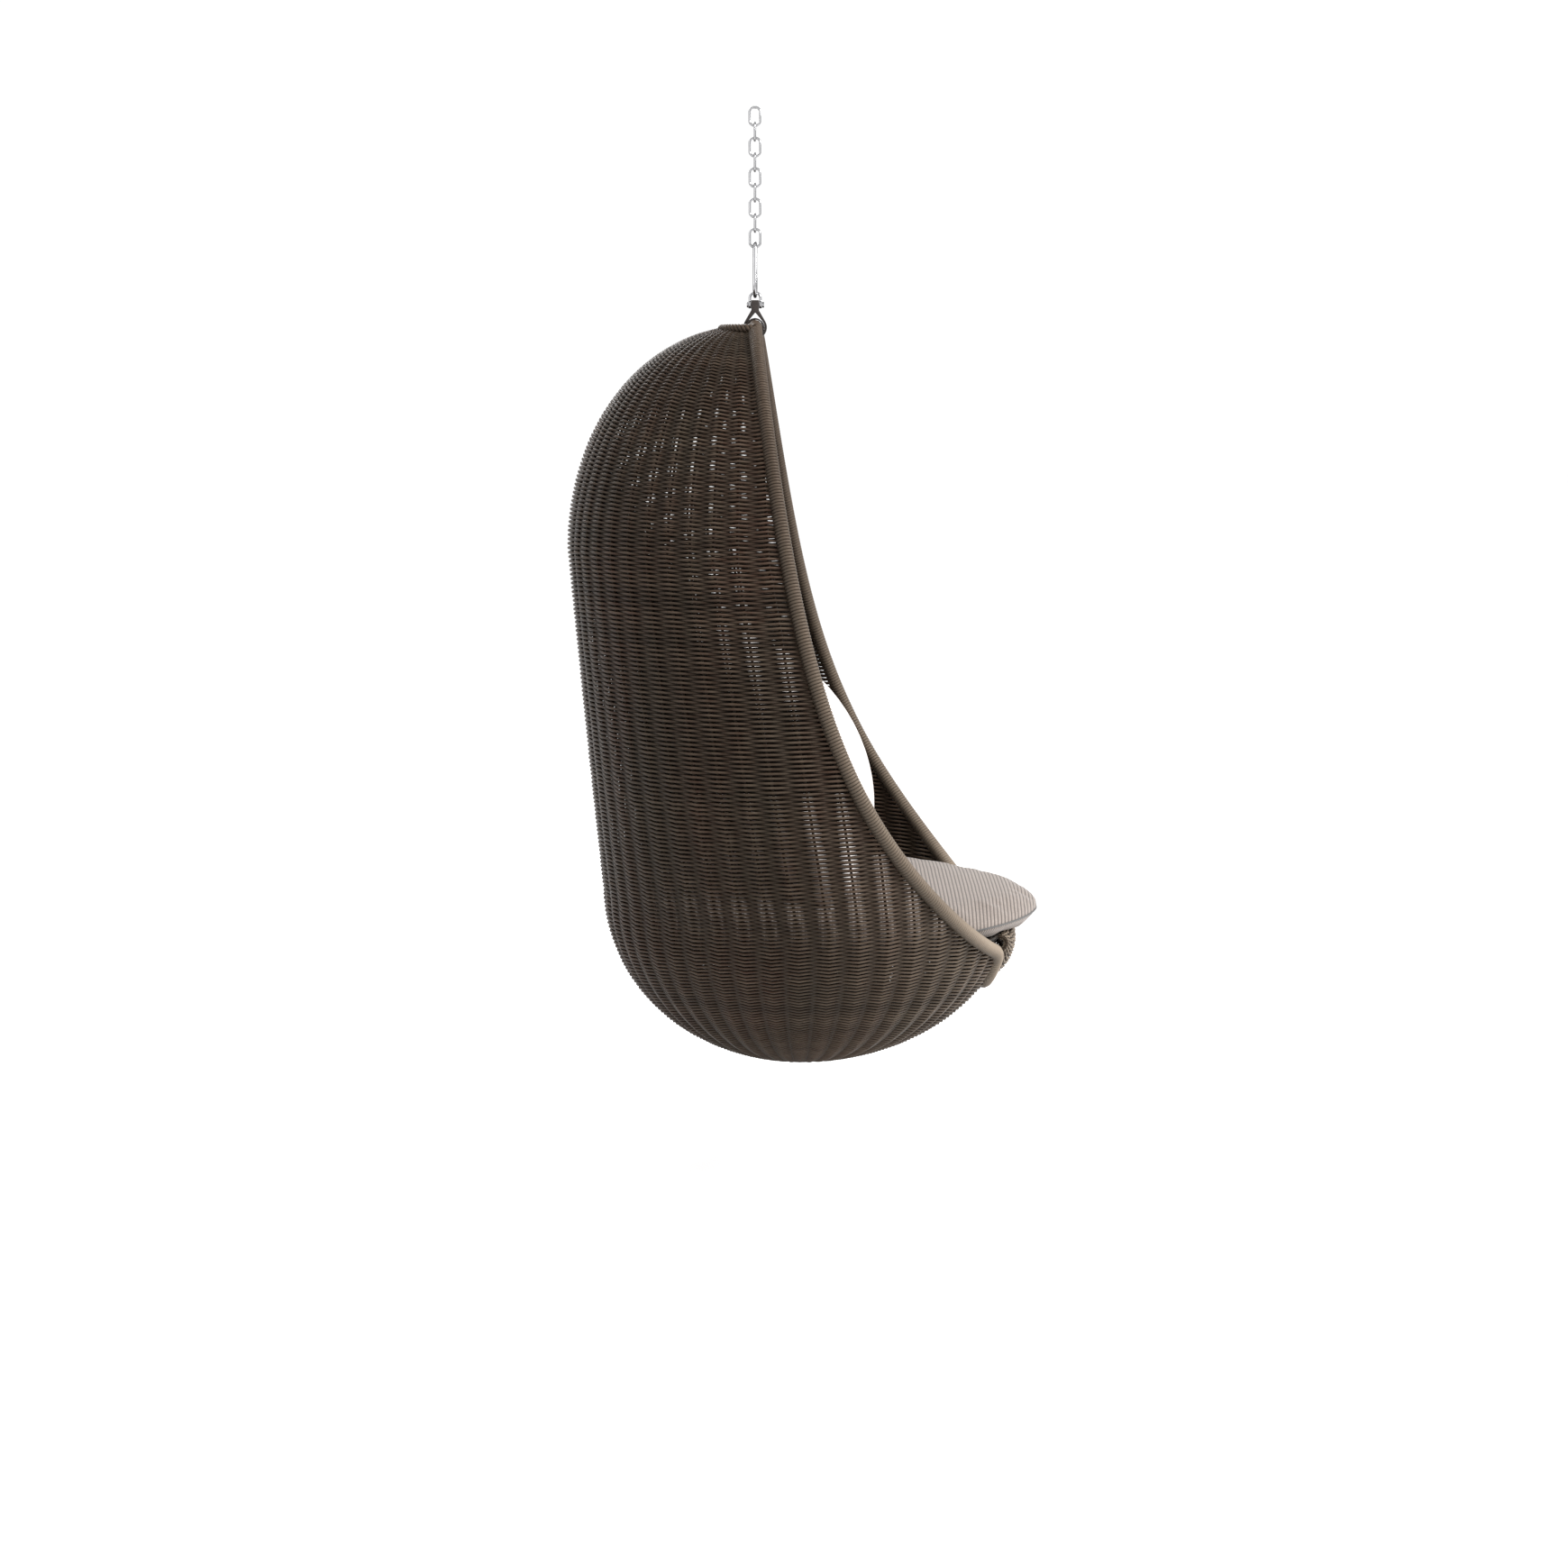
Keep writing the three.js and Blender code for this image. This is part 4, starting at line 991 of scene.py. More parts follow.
def plumped(name, mesh, voxel, pressure, slack, cap):
    """The mesh remeshed and blown up as stuffed cloth, with no point moved further than the cap."""
    piece = bpy.data.objects.new(name, mesh)
    bpy.context.scene.collection.objects.link(piece)
    remesh = piece.modifiers.new("Remesh", "REMESH")
    remesh.mode = "VOXEL"
    remesh.voxel_size = voxel
    even = evaluated_mesh(piece)
    piece.modifiers.clear()
    piece.data = even
    start = positions(even)
    cloth = piece.modifiers.new("Cloth", "CLOTH")
    cloth.settings.quality = 5
    cloth.settings.mass = 0.2
    cloth.settings.use_pressure = True
    cloth.settings.uniform_pressure_force = pressure
    cloth.settings.shrink_min = -slack
    cloth.settings.effector_weights.gravity = 0
    scene = bpy.context.scene
    for step in range(1, CLOTH_FRAMES + 1):
        scene.frame_set(step)
    blown = evaluated_mesh(piece)
    piece.modifiers.clear()
    scene.frame_set(1)
    move = positions(blown) - start
    far = np.linalg.norm(move, axis=1, keepdims=True)
    limited = cap * np.tanh(far / cap)
    set_positions(even, start + move / np.maximum(far, 1e-9) * limited)
    bpy.data.objects.remove(piece)
    return even


def subdivided(mesh):
    piece = bpy.data.objects.new("rough", mesh)
    bpy.context.scene.collection.objects.link(piece)
    smooth = piece.modifiers.new("Subdivision", "SUBSURF")
    smooth.levels = smooth.render_levels = 1
    fine = evaluated_mesh(piece)
    bpy.data.objects.remove(piece)
    fine.shade_smooth()
    return fine


def kept_off_line(points, line, radius):
    """Points moved out of a tube of this radius round a closed line."""
    tree = KDTree(len(line))
    for i, p in enumerate(line):
        tree.insert(p, i)
    tree.balance()
    for i, p in enumerate(points):
        near, _, away = tree.find(p)
        if away < radius:
            points[i] = near + (Vector(p) - near).normalized() * radius
    return points


def kept_in_shell(points, inset):
    """Points brought inside the shell's wall, level by level."""
    local = points / MM - (0, 0, APEX)
    centre, back, front, half = egg(-local[:, 2], inset)
    off = local[:, 0] - centre
    share = np.hypot(off / np.where(off > 0, front, back), local[:, 1] / half)
    shrink = np.where(share > 1, 1 / np.maximum(share, 1e-9), 1)
    local[:, 0] = centre + off * shrink
    local[:, 1] *= shrink
    return (local + (0, 0, APEX)) * MM


def surface_tree(mesh):
    return BVHTree.FromPolygons([v.co for v in mesh.vertices], [tuple(f.vertices) for f in mesh.polygons])


def height_over(tree, x, y, top, miss):
    hit = tree.ray_cast(Vector((x, y, top)), Vector((0, 0, -1)))[0]
    return hit[2] if hit else miss


def lip_line(y):
    """The lip's middle line from the deck's nose to the front rail, at a distance from the middle."""
    centre, _, front, half = (float(v) for v in egg(DECK_DROP + LIP_NOSE_DROP, LIP_NOSE_INSET))
    nose = centre + front * math.sqrt(1 - (y / half) ** 2)
    loop = rim_loop()
    rail = loop[(loop[:, 1] >= 0) & (loop[:, 2] < -DECK_DROP - LIP_RAIL_DROP)]
    order = np.argsort(rail[:, 1])
    x, z = (float(np.interp(abs(y), rail[order, 1], rail[order, axis])) for axis in (0, 2))
    start = np.array([nose + SEAT_GAP, -DECK_DROP - LIP_THICKNESS / 2])
    seat = np.array([nose - x, start[1] - z])
    end = np.array([x, z]) + seat / np.linalg.norm(seat) * LIP_HOLD
    bulge = start[0] + LIP_BULGE
    handles = [(bulge, start[1]), (bulge, lerp(end[1], start[1], LIP_HANDLE_SHARE))]
    line = [bezier([start, *handles, end], k / LIP_STEPS) for k in range(LIP_STEPS + 1)]
    return np.array([(p[0], y, p[1]) for p in [start - (LIP_TUCK, 0), *line]])


def points_along(sheet, places):
    """A point on each line of the sheet, at a place counted in that line's own points."""
    steps = np.arange(sheet.shape[1])
    return np.array([
        [np.interp(place, steps, line[:, axis]) for axis in range(3)]
        for place, line in zip(places, sheet)
    ])


def lip_rows(spacing):
    """Strand lines across the lip, with their outward sides and the phases of their waves."""
    across = np.linspace(-LIP_HALF, LIP_HALF, (LIP_STAKES - 1) * LIP_SAMPLES + 1)
    sheet = np.array([lip_line(y) for y in across])
    steps = np.arange(sheet.shape[1])
    lengths = np.cumsum(np.linalg.norm(np.diff(sheet, axis=1), axis=2), axis=1)
    count = int(lengths[:, -1].mean() / (spacing / MM))
    lines, outwards, phases = [], [], []
    for k in range(1, count):
        at = [np.interp(k / count * row[-1], row, steps[1:]) for row in lengths]
        line = points_along(sheet, at)
        way = points_along(sheet, [place + 0.5 for place in at]) - line
        out = np.stack([-way[:, 2], np.zeros(len(way)), way[:, 0]], axis=1)
        outwards.append(out / np.linalg.norm(out, axis=1, keepdims=True))
        lines.append(row_frame(line))
        phases.append(np.arange(len(across)) / LIP_SAMPLES * math.pi + k * math.pi)
    return lines, outwards, phases


def way_round_cushion(points):
    """How far round the cushion's edge each point lies."""
    def turn_of(places):
        return np.arctan2(places[:, 1] / CUSHION_HALF, (places[:, 0] - CUSHION_CENTRE) / CUSHION_FRONT)

    edge = np.array([superellipse(a, 1) for a in np.linspace(-math.pi, math.pi, EDGE_STEPS + 1)])
    around = np.concatenate([[0], np.cumsum(np.linalg.norm(np.diff(edge, axis=0), axis=1))])
    return np.interp(turn_of(points / MM - (0, 0, APEX)), turn_of(edge), around) * MM


def pillow_side(side, floor):
    """Rows of points of one side of the pillow, 1 for its front and -1 for its back."""
    line = [(x, floor + rise) for x, rise in PILLOW_LINE]
    half = PILLOW_THICKNESS / 2 * (PILLOW_FRONT_SHARE if side > 0 else PILLOW_BACK_SHARE)
    spans = [2 * i / PILLOW_STEPS - 1 for i in range(PILLOW_STEPS + 1)]
    rows = []
    for u in spans:
        across = PILLOW_HALF - PILLOW_HEM - PILLOW_DRAW_IN * (1 - u * u)
        row = []
        for v in spans:
            pull = PILLOW_DRAW_IN * (1 - v * v) / (2 * PILLOW_HALF)
            along = lerp(0.5, (u + 1) / 2, 1 - pull)
            at = bezier(line, along)
            way = bezier(line, along + PILLOW_PROBE) - at
            way = way / np.linalg.norm(way)
            crown = ((1 - u * u) * (1 - v * v)) ** PILLOW_CROWN_POWER * half + PILLOW_EDGE
            row.append((at[0] + side * way[1] * crown, v * across, at[1] - side * way[0] * crown))
        rows.append(row)
    return rows


def pillow_shape(floor):
    """The pillow before it is stuffed: two domed sides joined along a narrow hem."""
    body = bmesh.new()
    front, back = (
        [[body.verts.new(Vector(row_frame(place))) for place in row] for row in pillow_side(side, floor)]
        for side in (1, -1)
    )
    for i in range(PILLOW_STEPS):
        for k in range(PILLOW_STEPS):
            body.faces.new((front[i][k], front[i][k + 1], front[i + 1][k + 1], front[i + 1][k]))
            body.faces.new((back[i][k], back[i + 1][k], back[i + 1][k + 1], back[i][k + 1]))
    for i in range(PILLOW_STEPS):
        for k in (0, PILLOW_STEPS):
            body.faces.new((front[i][k], front[i + 1][k], back[i + 1][k], back[i][k]))
            body.faces.new((front[k][i], front[k][i + 1], back[k][i + 1], back[k][i]))
    bmesh.ops.recalc_face_normals(body, faces=body.faces)
    mesh = bpy.data.meshes.new("pillow")
    body.to_mesh(mesh)
    body.free()
    return mesh


# Sizes and colours

def length(name, description, default, low=0.001):
    return FloatProperty(name=name, description=description, default=default, min=low, unit="LENGTH")


def colour(name, description, *default):
    return FloatVectorProperty(name=name, description=description, subtype="COLOR", default=default)


class WeaveSizes(bpy.types.PropertyGroup):
    strand: length("Strand", "Diameter of a strand", 0.0047)
    stake: length("Stake", "Diameter of an upright stake", 0.0046)
    spacing: length("Row spacing", "From one row to the next", 0.0036)
    lip_strand: length("Lip strand", "Diameter of the lip's strands", 0.0041)
    lip_stake: length("Lip stake", "Diameter of the lip's stakes", 0.003)
    lip_spacing: length("Lip spacing", "From one row of the lip to the next", 0.0042)
    samples: IntProperty(name="Points", description="Points of a strand between two stakes", default=4, min=2)
    seed: IntProperty(name="Seed", description="Seed of the rows' uneven spacing and tone", default=4)
    main: colour("Strand colour", "Main colour", 0.021, 0.0145, 0.0098)
    warm: colour("Warm colour", "Colour of the warmer stretches", 0.025, 0.0125, 0.0082)
    # Brightened, the pale colour is also the painted light low at the front of the weave.
    pale: colour("Pale colour", "Colour of the worn streaks", 0.064, 0.05, 0.037)


class RimSizes(bpy.types.PropertyGroup):
    turn: length("Turn", "From one turn of the wrap to the next", 0.0051)
    thickness: length("Thickness", "Thickness of the wrap's strand", 0.0036, 0.0005)
    ring_turn: length("Ring turn", "From one turn on the top ring to the next", 0.0062)
    main: colour("Wrap colour", "Main colour", 0.058, 0.041, 0.029)
    dark: colour("Dark colour", "Colour of the darker turns", 0.02, 0.013, 0.009)
    # The corner colour is painted light, mixed in lower down on the rim and most at its front corners.
    pale: colour("Corner colour", "Colour at the front corners", 0.24, 0.195, 0.15)


class GearSizes(bpy.types.PropertyGroup):
    edge: length("Edge", "Rounding of machined edges", 0.0004, 0.0001)
    chrome: colour("Chrome", "Colour of the plated parts", 0.45, 0.45, 0.46)
    metal: colour("Tube", "Colour of the frame's tubes", 0.3, 0.29, 0.28)
    strap: colour("Strap", "Colour of the strap", 0.016, 0.011, 0.009)


class SoftSizes(bpy.types.PropertyGroup):
    stripe: length("Stripe", "From one rib of the cushion's cloth to the next", 0.0062)
    piping: length("Piping", "Diameter of the piping", 0.003)
    voxel: length("Voxel", "Grain of the soft meshes", 0.006, 0.003)
    cushion: colour("Cushion", "Colour of the seat cushion", 0.315, 0.266, 0.237)
    line: colour("Lines", "Colour of the lines between its ribs", 0.085, 0.07, 0.06)
    cord: colour("Piping colour", "Colour of the piping", 0.07, 0.068, 0.066)
    pillow: colour("Pillow", "Colour of the pillow", 0.76, 0.72, 0.695)
    tint: colour("Pillow tint", "Colour of its faint patches", 0.58, 0.5, 0.48)


class StageSizes(bpy.types.PropertyGroup):
    floor: FloatProperty(name="Floor", description="Height of the floor", default=-1.82, unit="LENGTH")
    shade: colour("Floor colour", "Colour of the floor", 0.975, 0.97, 0.97)
    sky: FloatProperty(name="Sky", description="Strength of the even light", default=1.06, min=0)
    lamp: FloatProperty(name="Lamps", description="Power of the lamps", default=110.0, min=0, unit="POWER")


# Operators

class PODCHAIR_OT_weave(bpy.types.Operator):
    """Weave the egg-shaped shell over its stakes"""
    bl_idname = "podchair.weave"
    bl_label = "Woven shell"

    def execute(self, context):
        sizes = context.scene.pod_weave
        material = strand_finish("Weave strand", sizes.main, sizes.warm, sizes.pale, 0.42)
        wave = (sizes.stake + sizes.strand) / 2
        lines, attributes, closed = woven_rows(sizes.spacing, sizes.samples, sizes.seed)
        points = np.cumsum([len(line) for line in lines])
        ends = np.linspace(0, points[-1], WEAVE_BANDS + 1)
        cuts = [int(np.searchsorted(points, end)) for end in ends[:-1]] + [len(lines)]
        for i, (first, last) in enumerate(zip(cuts, cuts[1:])):
            part = slice(first, last)
            nodes = ["woven_shell"] if i == 0 else []
            how = {
                "wave": wave,
                "closed": {k - first for k in closed if first <= k < last},
                "attributes": {key: values[part] for key, values in attributes.items()},
            }
            name = f"weave_band_{i + 1}"
            put_strands(name, lines[part], sizes.strand, material, "pod", "weave", *nodes, **how)
        shaded = [rgba(given, STAKE_SHADE) for given in (sizes.main, sizes.warm)]
        stake = strand_finish("Stake", *shaded, sizes.main, 0.5)
        uprights = stake_lines()
        tone = even_tone(uprights, 0.4)
        put_strands("weave_stakes", uprights, sizes.stake, stake, "pod", "weave", attributes=tone)
        coil = [hub_line()]
        tone = even_tone(coil, 0.55)
        how = {"sides": 8, "attributes": tone}
        put_strands("weave_hub", coil, HUB_STRAND * MM, material, "pod", "weave", **how)
        return {"FINISHED"}


class PODCHAIR_OT_rim(bpy.types.Operator):
    """Wind the strand round the rim and the top ring"""
    bl_idname = "podchair.rim"
    bl_label = "Wrapped rim and ring"

    def execute(self, context):
        sizes = context.scene.pod_rim
        material = wrap_finish("Rim strand", sizes.main, sizes.dark, sizes.pale)
        loop = row_frame(rim_loop())
        mesh = wound("rim_winding", loop, RIM_DIAMETER / 2 * MM, sizes.turn, sizes.thickness, material, True)
        put("rim_winding", mesh, material, "pod", "wrap", "rim_wrap")
        turns = np.linspace(-math.pi / 2, math.pi / 2, RING_STEPS + 1)
        arc = [(-RING_RADIUS * math.cos(t), RING_RADIUS * math.sin(t), -RING_SINK) for t in turns]
        winding = (RING_TUBE / 2 * MM, sizes.ring_turn, sizes.thickness, material, False, RING_STARTS)
        for start in range(RING_STARTS):
            name = f"ring_winding_{start + 1}"
            mesh = wound(name, row_frame(arc), *winding, start)
            put(name, mesh, material, "pod", "wrap", *(["top_ring"] if start == 0 else []))
        # Painted shade: the core that shows between the turns takes only the dark colour, for the shade
        # inside the winding.
        dark = wrap_finish("Ring core", sizes.dark, sizes.dark, sizes.dark)
        put_strands("ring_core", [row_frame(arc)], RING_CORE_TUBE * MM, dark, "pod", "wrap", sides=12)
        return {"FINISHED"}


class PODCHAIR_OT_lip(bpy.types.Operator):
    """Weave the open lip below the seat's front edge, and dress the deck and the tubes"""
    bl_idname = "podchair.lip"
    bl_label = "Lip, deck and tubes"

    def execute(self, context):
        weave, gear, wrap = context.scene.pod_weave, context.scene.pod_gear, context.scene.pod_rim
        material = strand_finish("Lip strand", wrap.main, wrap.main, rgba(wrap.pale, 0.55), 0.5)
        dark = strand_finish("Lip stake", wrap.dark, wrap.dark, wrap.main, 0.5)
        uprights = [row_frame(lip_line(y)) for y in np.linspace(-LIP_HALF, LIP_HALF, LIP_STAKES)]
        lines, outwards, phases = lip_rows(weave.lip_spacing)
        tones = [np.full(len(line), 0.5 + 0.3 * math.sin(k * 2.3)) for k, line in enumerate(lines)]
        how = {
            "wave": (weave.lip_stake + weave.lip_strand) / LIP_FLATNESS,
            "attributes": {"outward": outwards, "phase": phases, "tone": tones},
        }
        put_strands("lip_rows", lines, weave.lip_strand, material, "pod", "weave", "front_lip", **how)
        tone = even_tone(uprights, 0.35)
        put_strands("lip_stakes", uprights, weave.lip_stake, dark, "pod", "weave", attributes=tone)
        dress(deck_finish("Deck panel", rgba(weave.main, 1.2)), "seat_deck")
        tubes = ["rim_core", "nose_bar", "seat_rail_rear", "seat_rail_middle", "seat_rail_front"]
        dress(metal_finish("Frame tube", gear.metal), *tubes)
        return {"FINISHED"}


def dress(material, *nodes):
    """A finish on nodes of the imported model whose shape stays."""
    for node in nodes:
        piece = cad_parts[node]
        if not piece.material_slots:
            raise RuntimeError(f"{node} has nowhere to put a finish")
        for slot in piece.material_slots:
            slot.link = "OBJECT"
            slot.material = material


class PODCHAIR_OT_gear(bpy.types.Operator):
    """Make the chain, the carabiner, the shackle, the strap and its sleeve"""
    bl_idname = "podchair.gear"
    bl_label = "Chain, carabiner, shackle and strap"

    def execute(self, context):
        sizes = context.scene.pod_gear
        chrome = chrome_finish("Chrome", sizes.chrome)
        for i in range(LINK_COUNT):
            line = np.array([(x, 0, z) for x, z in link_outline()])
            if i % 2:
                line = line[:, [1, 0, 2]]
            middle = LINK_WIRE / 2 - LINK_STEP * i - LINK_HALF_LENGTH
            name, node = f"link_{i + 1}", f"chain_link_{i + 1}"
            lines = [(line + (0, 0, middle)) * MM]
            how = {"sides": 14, "closed": {0}}
            put_strands(name + "_wire", lines, LINK_WIRE * MM, chrome, name, "chrome", node, **how)
        put("carabiner_hook", carabiner_mesh(chrome), chrome, "carabiner", "chrome", "carabiner_body")
        rounded = {
            "carabiner_gate": "gate",
            "carabiner_gate_pin": "carabiner",
            "shackle_bow": "shackle",
            "shackle_pin": "shackle",
            "shackle_nut": "shackle",
        }
        for node, body in rounded.items():
            put(node + "_bright", rounded_copy(node, sizes.edge), chrome, body, "chrome", node)
        webbing = webbing_finish("Strap webbing", sizes.strap)
        mesh = rounded_copy("hanging_strap", STRAP_EDGE * MM)
        put("strap_band", mesh, webbing, "strap", "strap", "hanging_strap")
        mesh = rounded_copy("rim_sleeve", SLEEVE_EDGE * MM)
        put("sleeve_band", mesh, webbing, "pod", "strap", "rim_sleeve")
        return {"FINISHED"}


def link_outline():
    """A link's centreline: straight sides, ends bent round with a short flat."""
    side, end, flat = LINK_HALF_WIDTH, LINK_HALF_LENGTH, LINK_END_FLAT
    shoulder = end - (side - flat)
    bend = [
        (side, shoulder - LINK_BEND_START),
        (side, shoulder + LINK_BEND_EASE),
        (flat + LINK_BEND_EASE, end),
        (flat - LINK_BEND_START, end),
    ]
    quarter = [tuple(bezier(bend, i / LINK_BEND_STEPS)) for i in range(LINK_BEND_STEPS + 1)]
    top = quarter + [(-x, z) for x, z in reversed(quarter)]
    return top + [(-x, -z) for x, z in top]


def carabiner_side(reach):
    """How far the carabiner's straight side leans, and its point at this distance from the foot's bend."""
    foot, top = CARABINER_FOOT_RADIUS, CARABINER_TOP_RADIUS
    lean = math.asin((foot - top) / (CARABINER_SPAN - top - foot))
    y = foot * math.cos(lean) - reach * math.sin(lean)
    return lean, np.array([0, y, foot * (1 + math.sin(lean)) + reach * math.cos(lean)])


def add_tongue(body, lean):
    """The flat tongue round the gate's pin, rounded at its tip."""
    pivot = carabiner_side(GATE_START)[1]
    turns = [math.pi * i / TONGUE_STEPS for i in range(TONGUE_STEPS + 1)]
    outline = [(TONGUE_HALF_WIDTH * math.cos(t), TONGUE_HALF_WIDTH * math.sin(t)) for t in turns]
    outline += [(-TONGUE_HALF_WIDTH, -TONGUE_REACH), (TONGUE_HALF_WIDTH, -TONGUE_REACH)]
    c, s = math.cos(lean), math.sin(lean)
    sides = []
    for x in (-TONGUE_HALF_THICKNESS, TONGUE_HALF_THICKNESS):
        ring = []
        for y, z in outline:
            place = (x, pivot[1] + (y * c - z * s), pivot[2] + (y * s + z * c) + CARABINER_FOOT)
            ring.append(body.verts.new(Vector(place) * MM))
        sides.append(ring)
    body.faces.new(sides[0])
    body.faces.new(sides[1][::-1])
    for k in range(len(outline)):
        after = (k + 1) % len(outline)
        body.faces.new((sides[0][after], sides[0][k], sides[1][k], sides[1][after]))


def carabiner_mesh(material):
    """The carabiner's bent wire with the flat tongue that carries the gate."""
    lean, start = carabiner_side(GATE_START - GATE_TONGUE)
    line = [start]
    arcs = [
        (CARABINER_FOOT_RADIUS, CARABINER_FOOT_RADIUS, lean, -math.pi - lean),
        (CARABINER_TOP_RADIUS, CARABINER_SPAN - CARABINER_TOP_RADIUS, math.pi - lean, lean),
    ]
    for radius, height, first, last in arcs:
        for i in range(CARABINER_ARC_STEPS + 1):
            turn = lerp(first, last, i / CARABINER_ARC_STEPS)
            line.append(np.array([0, radius * math.cos(turn), height + radius * math.sin(turn)]))
    line.append(carabiner_side(GATE_START + GATE_LENGTH + GATE_GAP)[1])
    wire = (np.array(line) + (0, 0, CARABINER_FOOT)) * MM
    mesh = strands("carabiner_wire", [wire], CARABINER_WIRE * MM, material, sides=18)
    body = bmesh.new()
    body.from_mesh(mesh)
    rounding = {"offset": CARABINER_END_ROUNDING * MM, "segments": 2, "profile": 0.5}
    bmesh.ops.bevel(body, geom=sharp_edges(body), affect="EDGES", **rounding)
    add_tongue(body, lean)
    bmesh.ops.recalc_face_normals(body, faces=body.faces)
    body.to_mesh(mesh)
    body.free()
    mesh.set_sharp_from_angle(angle=CARABINER_SMOOTH_ANGLE)
    return mesh


class PODCHAIR_OT_cushion(bpy.types.Operator):
    """Make the striped seat cushion and its piping"""
    bl_idname = "podchair.cushion"
    bl_label = "Seat cushion"

    def execute(self, context):
        sizes = context.scene.pod_soft
        floor = -DECK_DROP + SEAT_GAP
        seam = floor + CUSHION_HEIGHT * CUSHION_SEAM_SHARE
        rings = []
        for spread, rise in zip(CUSHION_SPREAD_SHARES, CUSHION_RISE_SHARES):
            angles = [math.tau * i / CUSHION_STEPS for i in range(CUSHION_STEPS)] if spread else [0]
            level = floor + (CUSHION_HEIGHT + CUSHION_CROWN_SPARE) * rise
            rings.append([Vector(row_frame((*superellipse(a, spread), level))) for a in angles])
        shape = lofted("cushion", rings)
        mesh = plumped("cushion", shape, sizes.voxel, pressure=3.0, slack=0.012, cap=0.007)
        points = positions(mesh)
        low, high = height_of(floor), height_of(floor + CUSHION_HEIGHT + 2 * CUSHION_CROWN_SPARE)
        points[:, 2] = np.clip(points[:, 2], low, high)
        points = kept_off_line(points, row_frame(rim_loop()), CUSHION_RIM_CLEARANCE * MM)
        points[:, 2] = np.maximum(points[:, 2], low)
        set_positions(mesh, points)
        mesh = subdivided(mesh)
        points = positions(mesh)
        across = np.where(points[:, 2] < height_of(seam), way_round_cushion(points), points[:, 0])
        layer = mesh.attributes.new("stripe", "FLOAT", "POINT")
        layer.data.foreach_set("value", across)
        material = striped_finish("Cushion cloth", sizes.cushion, sizes.line, sizes.stripe)
        piece = put("cushion_cover", mesh, material, "pod", "cushion", "seat_cushion")
        tree = surface_tree(mesh)
        goal = Vector(row_frame((CUSHION_CENTRE, 0, seam)))
        line = []
        for i in range(PIPING_STEPS):
            place = superellipse(math.tau * i / PIPING_STEPS, PIPING_START_SHARE)
            start = Vector(row_frame((*place, seam)))
            hit = tree.ray_cast(start, (goal - start).normalized())[0]
            if hit is None:
                raise RuntimeError("The cushion has no side for its piping")
            line.append(hit + (hit - goal).normalized() * sizes.piping * PIPING_PROUD_SHARE)
        cord = plain_cloth_finish("Piping cloth", sizes.cord, rgba(sizes.cord, 2))
        how = {"sides": 8, "closed": {0}}
        put_strands("cushion_piping", [line], sizes.piping, cord, "pod", "cushion", **how)
        return {"FINISHED"}


class PODCHAIR_OT_pillow(bpy.types.Operator):
    """Make the back pillow"""
    bl_idname = "podchair.pillow"
    bl_label = "Back pillow"

    def execute(self, context):
        sizes = context.scene.pod_soft
        shape = pillow_shape(-DECK_DROP + SEAT_GAP)
        mesh = plumped("pillow", shape, sizes.voxel, pressure=3.5, slack=0.03, cap=0.012)
        points = kept_in_shell(positions(mesh), WALL_INSET)
        tree = surface_tree(bpy.data.objects["cushion_cover"].data)
        for i, p in enumerate(points):
            if p[2] < PILLOW_FOOT_TOP * MM:
                points[i][2] = max(p[2], height_over(tree, p[0], p[1], 0, p[2]) + PILLOW_LIFT * MM)
        set_positions(mesh, points)
        mesh = subdivided(mesh)
        material = plain_cloth_finish("Pillow cloth", sizes.pillow, sizes.tint)
        piece = put("pillow_cover", mesh, material, "pod", "pillow", "back_pillow")
        return {"FINISHED"}


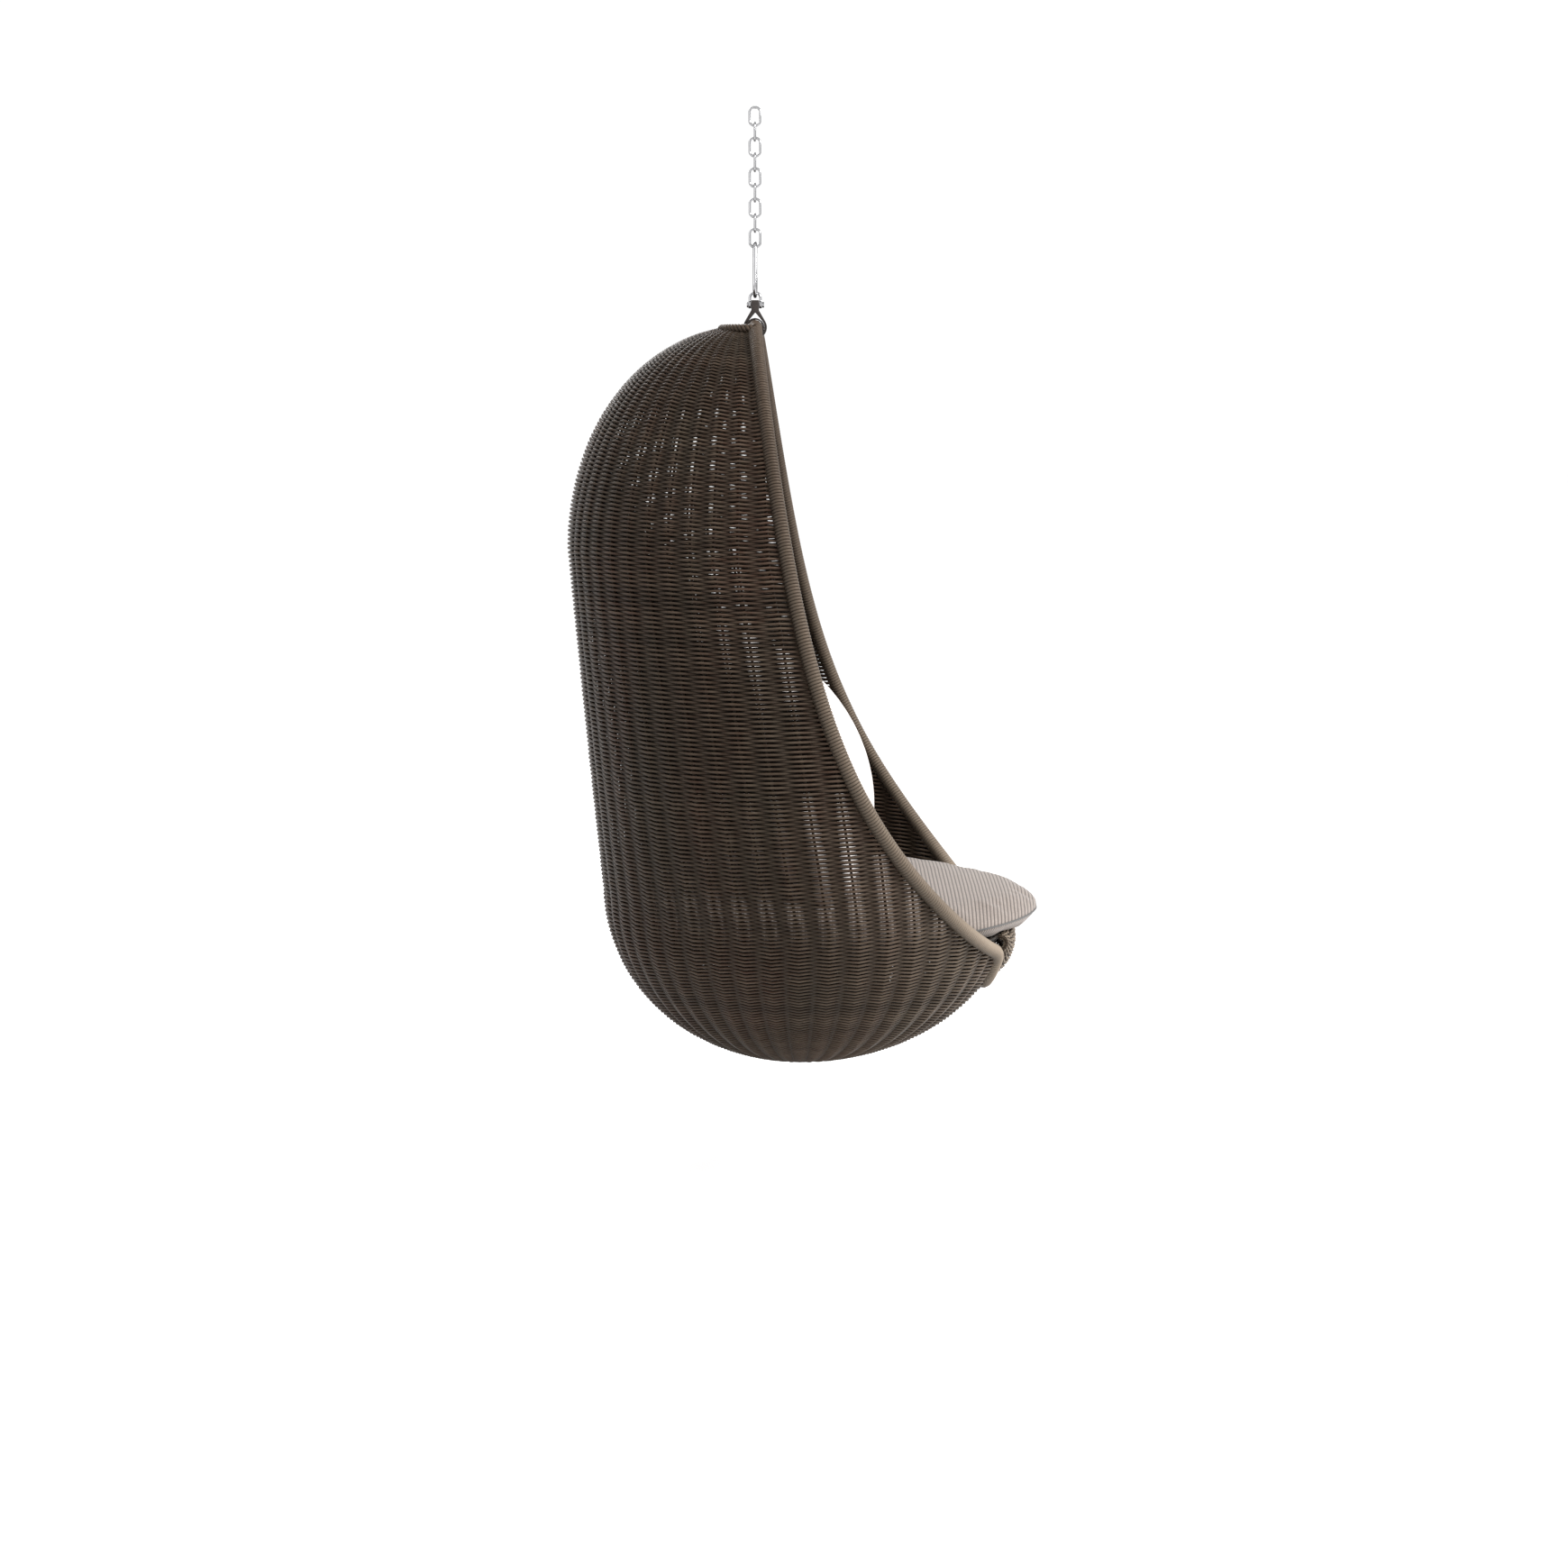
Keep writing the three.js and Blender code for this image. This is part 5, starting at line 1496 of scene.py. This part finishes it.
class PODCHAIR_OT_stage(bpy.types.Operator):
    """Set up the camera, the floor and the lights"""
    bl_idname = "podchair.stage"
    bl_label = "Stage"

    def execute(self, context):
        sizes = context.scene.pod_stage
        camera = bpy.data.cameras.new("Camera")
        camera.sensor_width = SENSOR
        camera.lens = SENSOR * PHOTO_FOCAL / PHOTO_WIDTH
        camera.clip_end = CAMERA_REACH
        holder = bpy.data.objects.new("Camera", camera)
        holder.location = CAMERA_PLACE
        holder.rotation_euler = [math.radians(turn) for turn in CAMERA_TURN]
        context.scene.collection.objects.link(holder)
        context.scene.camera = holder
        floor = bpy.data.meshes.new("floor")
        corners = ((-1, -1), (1, -1), (1, 1), (-1, 1))
        places = [(x * FLOOR_REACH, y * FLOOR_REACH, sizes.floor) for x, y in corners]
        floor.from_pydata(places, [], [(0, 1, 2, 3)])
        material, tree, shader, place = new_finish("Floor", 0.9)
        cloud = add_noise(tree, place, 0.6, 2.0)
        base = add_mix(tree, cloud, rgba(sizes.shade), rgba(sizes.shade, 0.99))
        paint(tree, shader, base)
        floor.materials.append(material)
        ground = bpy.data.objects.new("floor", floor)
        context.scene.collection.objects.link(ground)
        world = bpy.data.worlds.new("Studio")
        world.use_nodes = True
        sky = world.node_tree.nodes["Background"]
        sky.inputs["Color"].default_value = (1.0, 1.0, 1.0, 1.0)
        sky.inputs["Strength"].default_value = sizes.sky
        context.scene.world = world
        context.scene.view_settings.view_transform = "Standard"
        for name, (place, size, share) in LAMPS.items():
            light = bpy.data.lights.new(name, "AREA")
            light.shape = "DISK"
            light.size = size
            light.energy = sizes.lamp * share
            lamp = bpy.data.objects.new(name, light)
            lamp.location = place
            aim = Vector(LAMP_AIM) - Vector(place)
            lamp.rotation_euler = aim.to_track_quat("-Z", "Y").to_euler()
            context.scene.collection.objects.link(lamp)
        return {"FINISHED"}


GROUPS = {
    "pod_weave": WeaveSizes,
    "pod_rim": RimSizes,
    "pod_gear": GearSizes,
    "pod_soft": SoftSizes,
    "pod_stage": StageSizes,
}
OPERATORS = (
    PODCHAIR_OT_weave,
    PODCHAIR_OT_rim,
    PODCHAIR_OT_lip,
    PODCHAIR_OT_gear,
    PODCHAIR_OT_cushion,
    PODCHAIR_OT_pillow,
    PODCHAIR_OT_stage,
)


class PODCHAIR_PT_panel(bpy.types.Panel):
    """Lists the chair's pieces, sizes and colours"""
    bl_idname = "PODCHAIR_PT_panel"
    bl_label = "Pod chair"
    bl_space_type = "VIEW_3D"
    bl_region_type = "UI"
    bl_category = "Pod chair"

    def draw(self, context):
        for operator in OPERATORS:
            self.layout.operator(operator.bl_idname)
        for group, kind in GROUPS.items():
            box = self.layout.box()
            for name in kind.__annotations__:
                box.prop(getattr(context.scene, group), name)


CLASSES = (*GROUPS.values(), *OPERATORS, PODCHAIR_PT_panel)


def register():
    for kind in CLASSES:
        bpy.utils.register_class(kind)
    for name, kind in GROUPS.items():
        setattr(bpy.types.Scene, name, PointerProperty(type=kind))


def unregister():
    for name in GROUPS:
        delattr(bpy.types.Scene, name)
    for kind in reversed(CLASSES):
        bpy.utils.unregister_class(kind)


def main():
    register()
    for operator in OPERATORS:
        group, name = operator.bl_idname.split(".")
        getattr(getattr(bpy.ops, group), name)()
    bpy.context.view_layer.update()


if __name__ == "__main__":
    main()
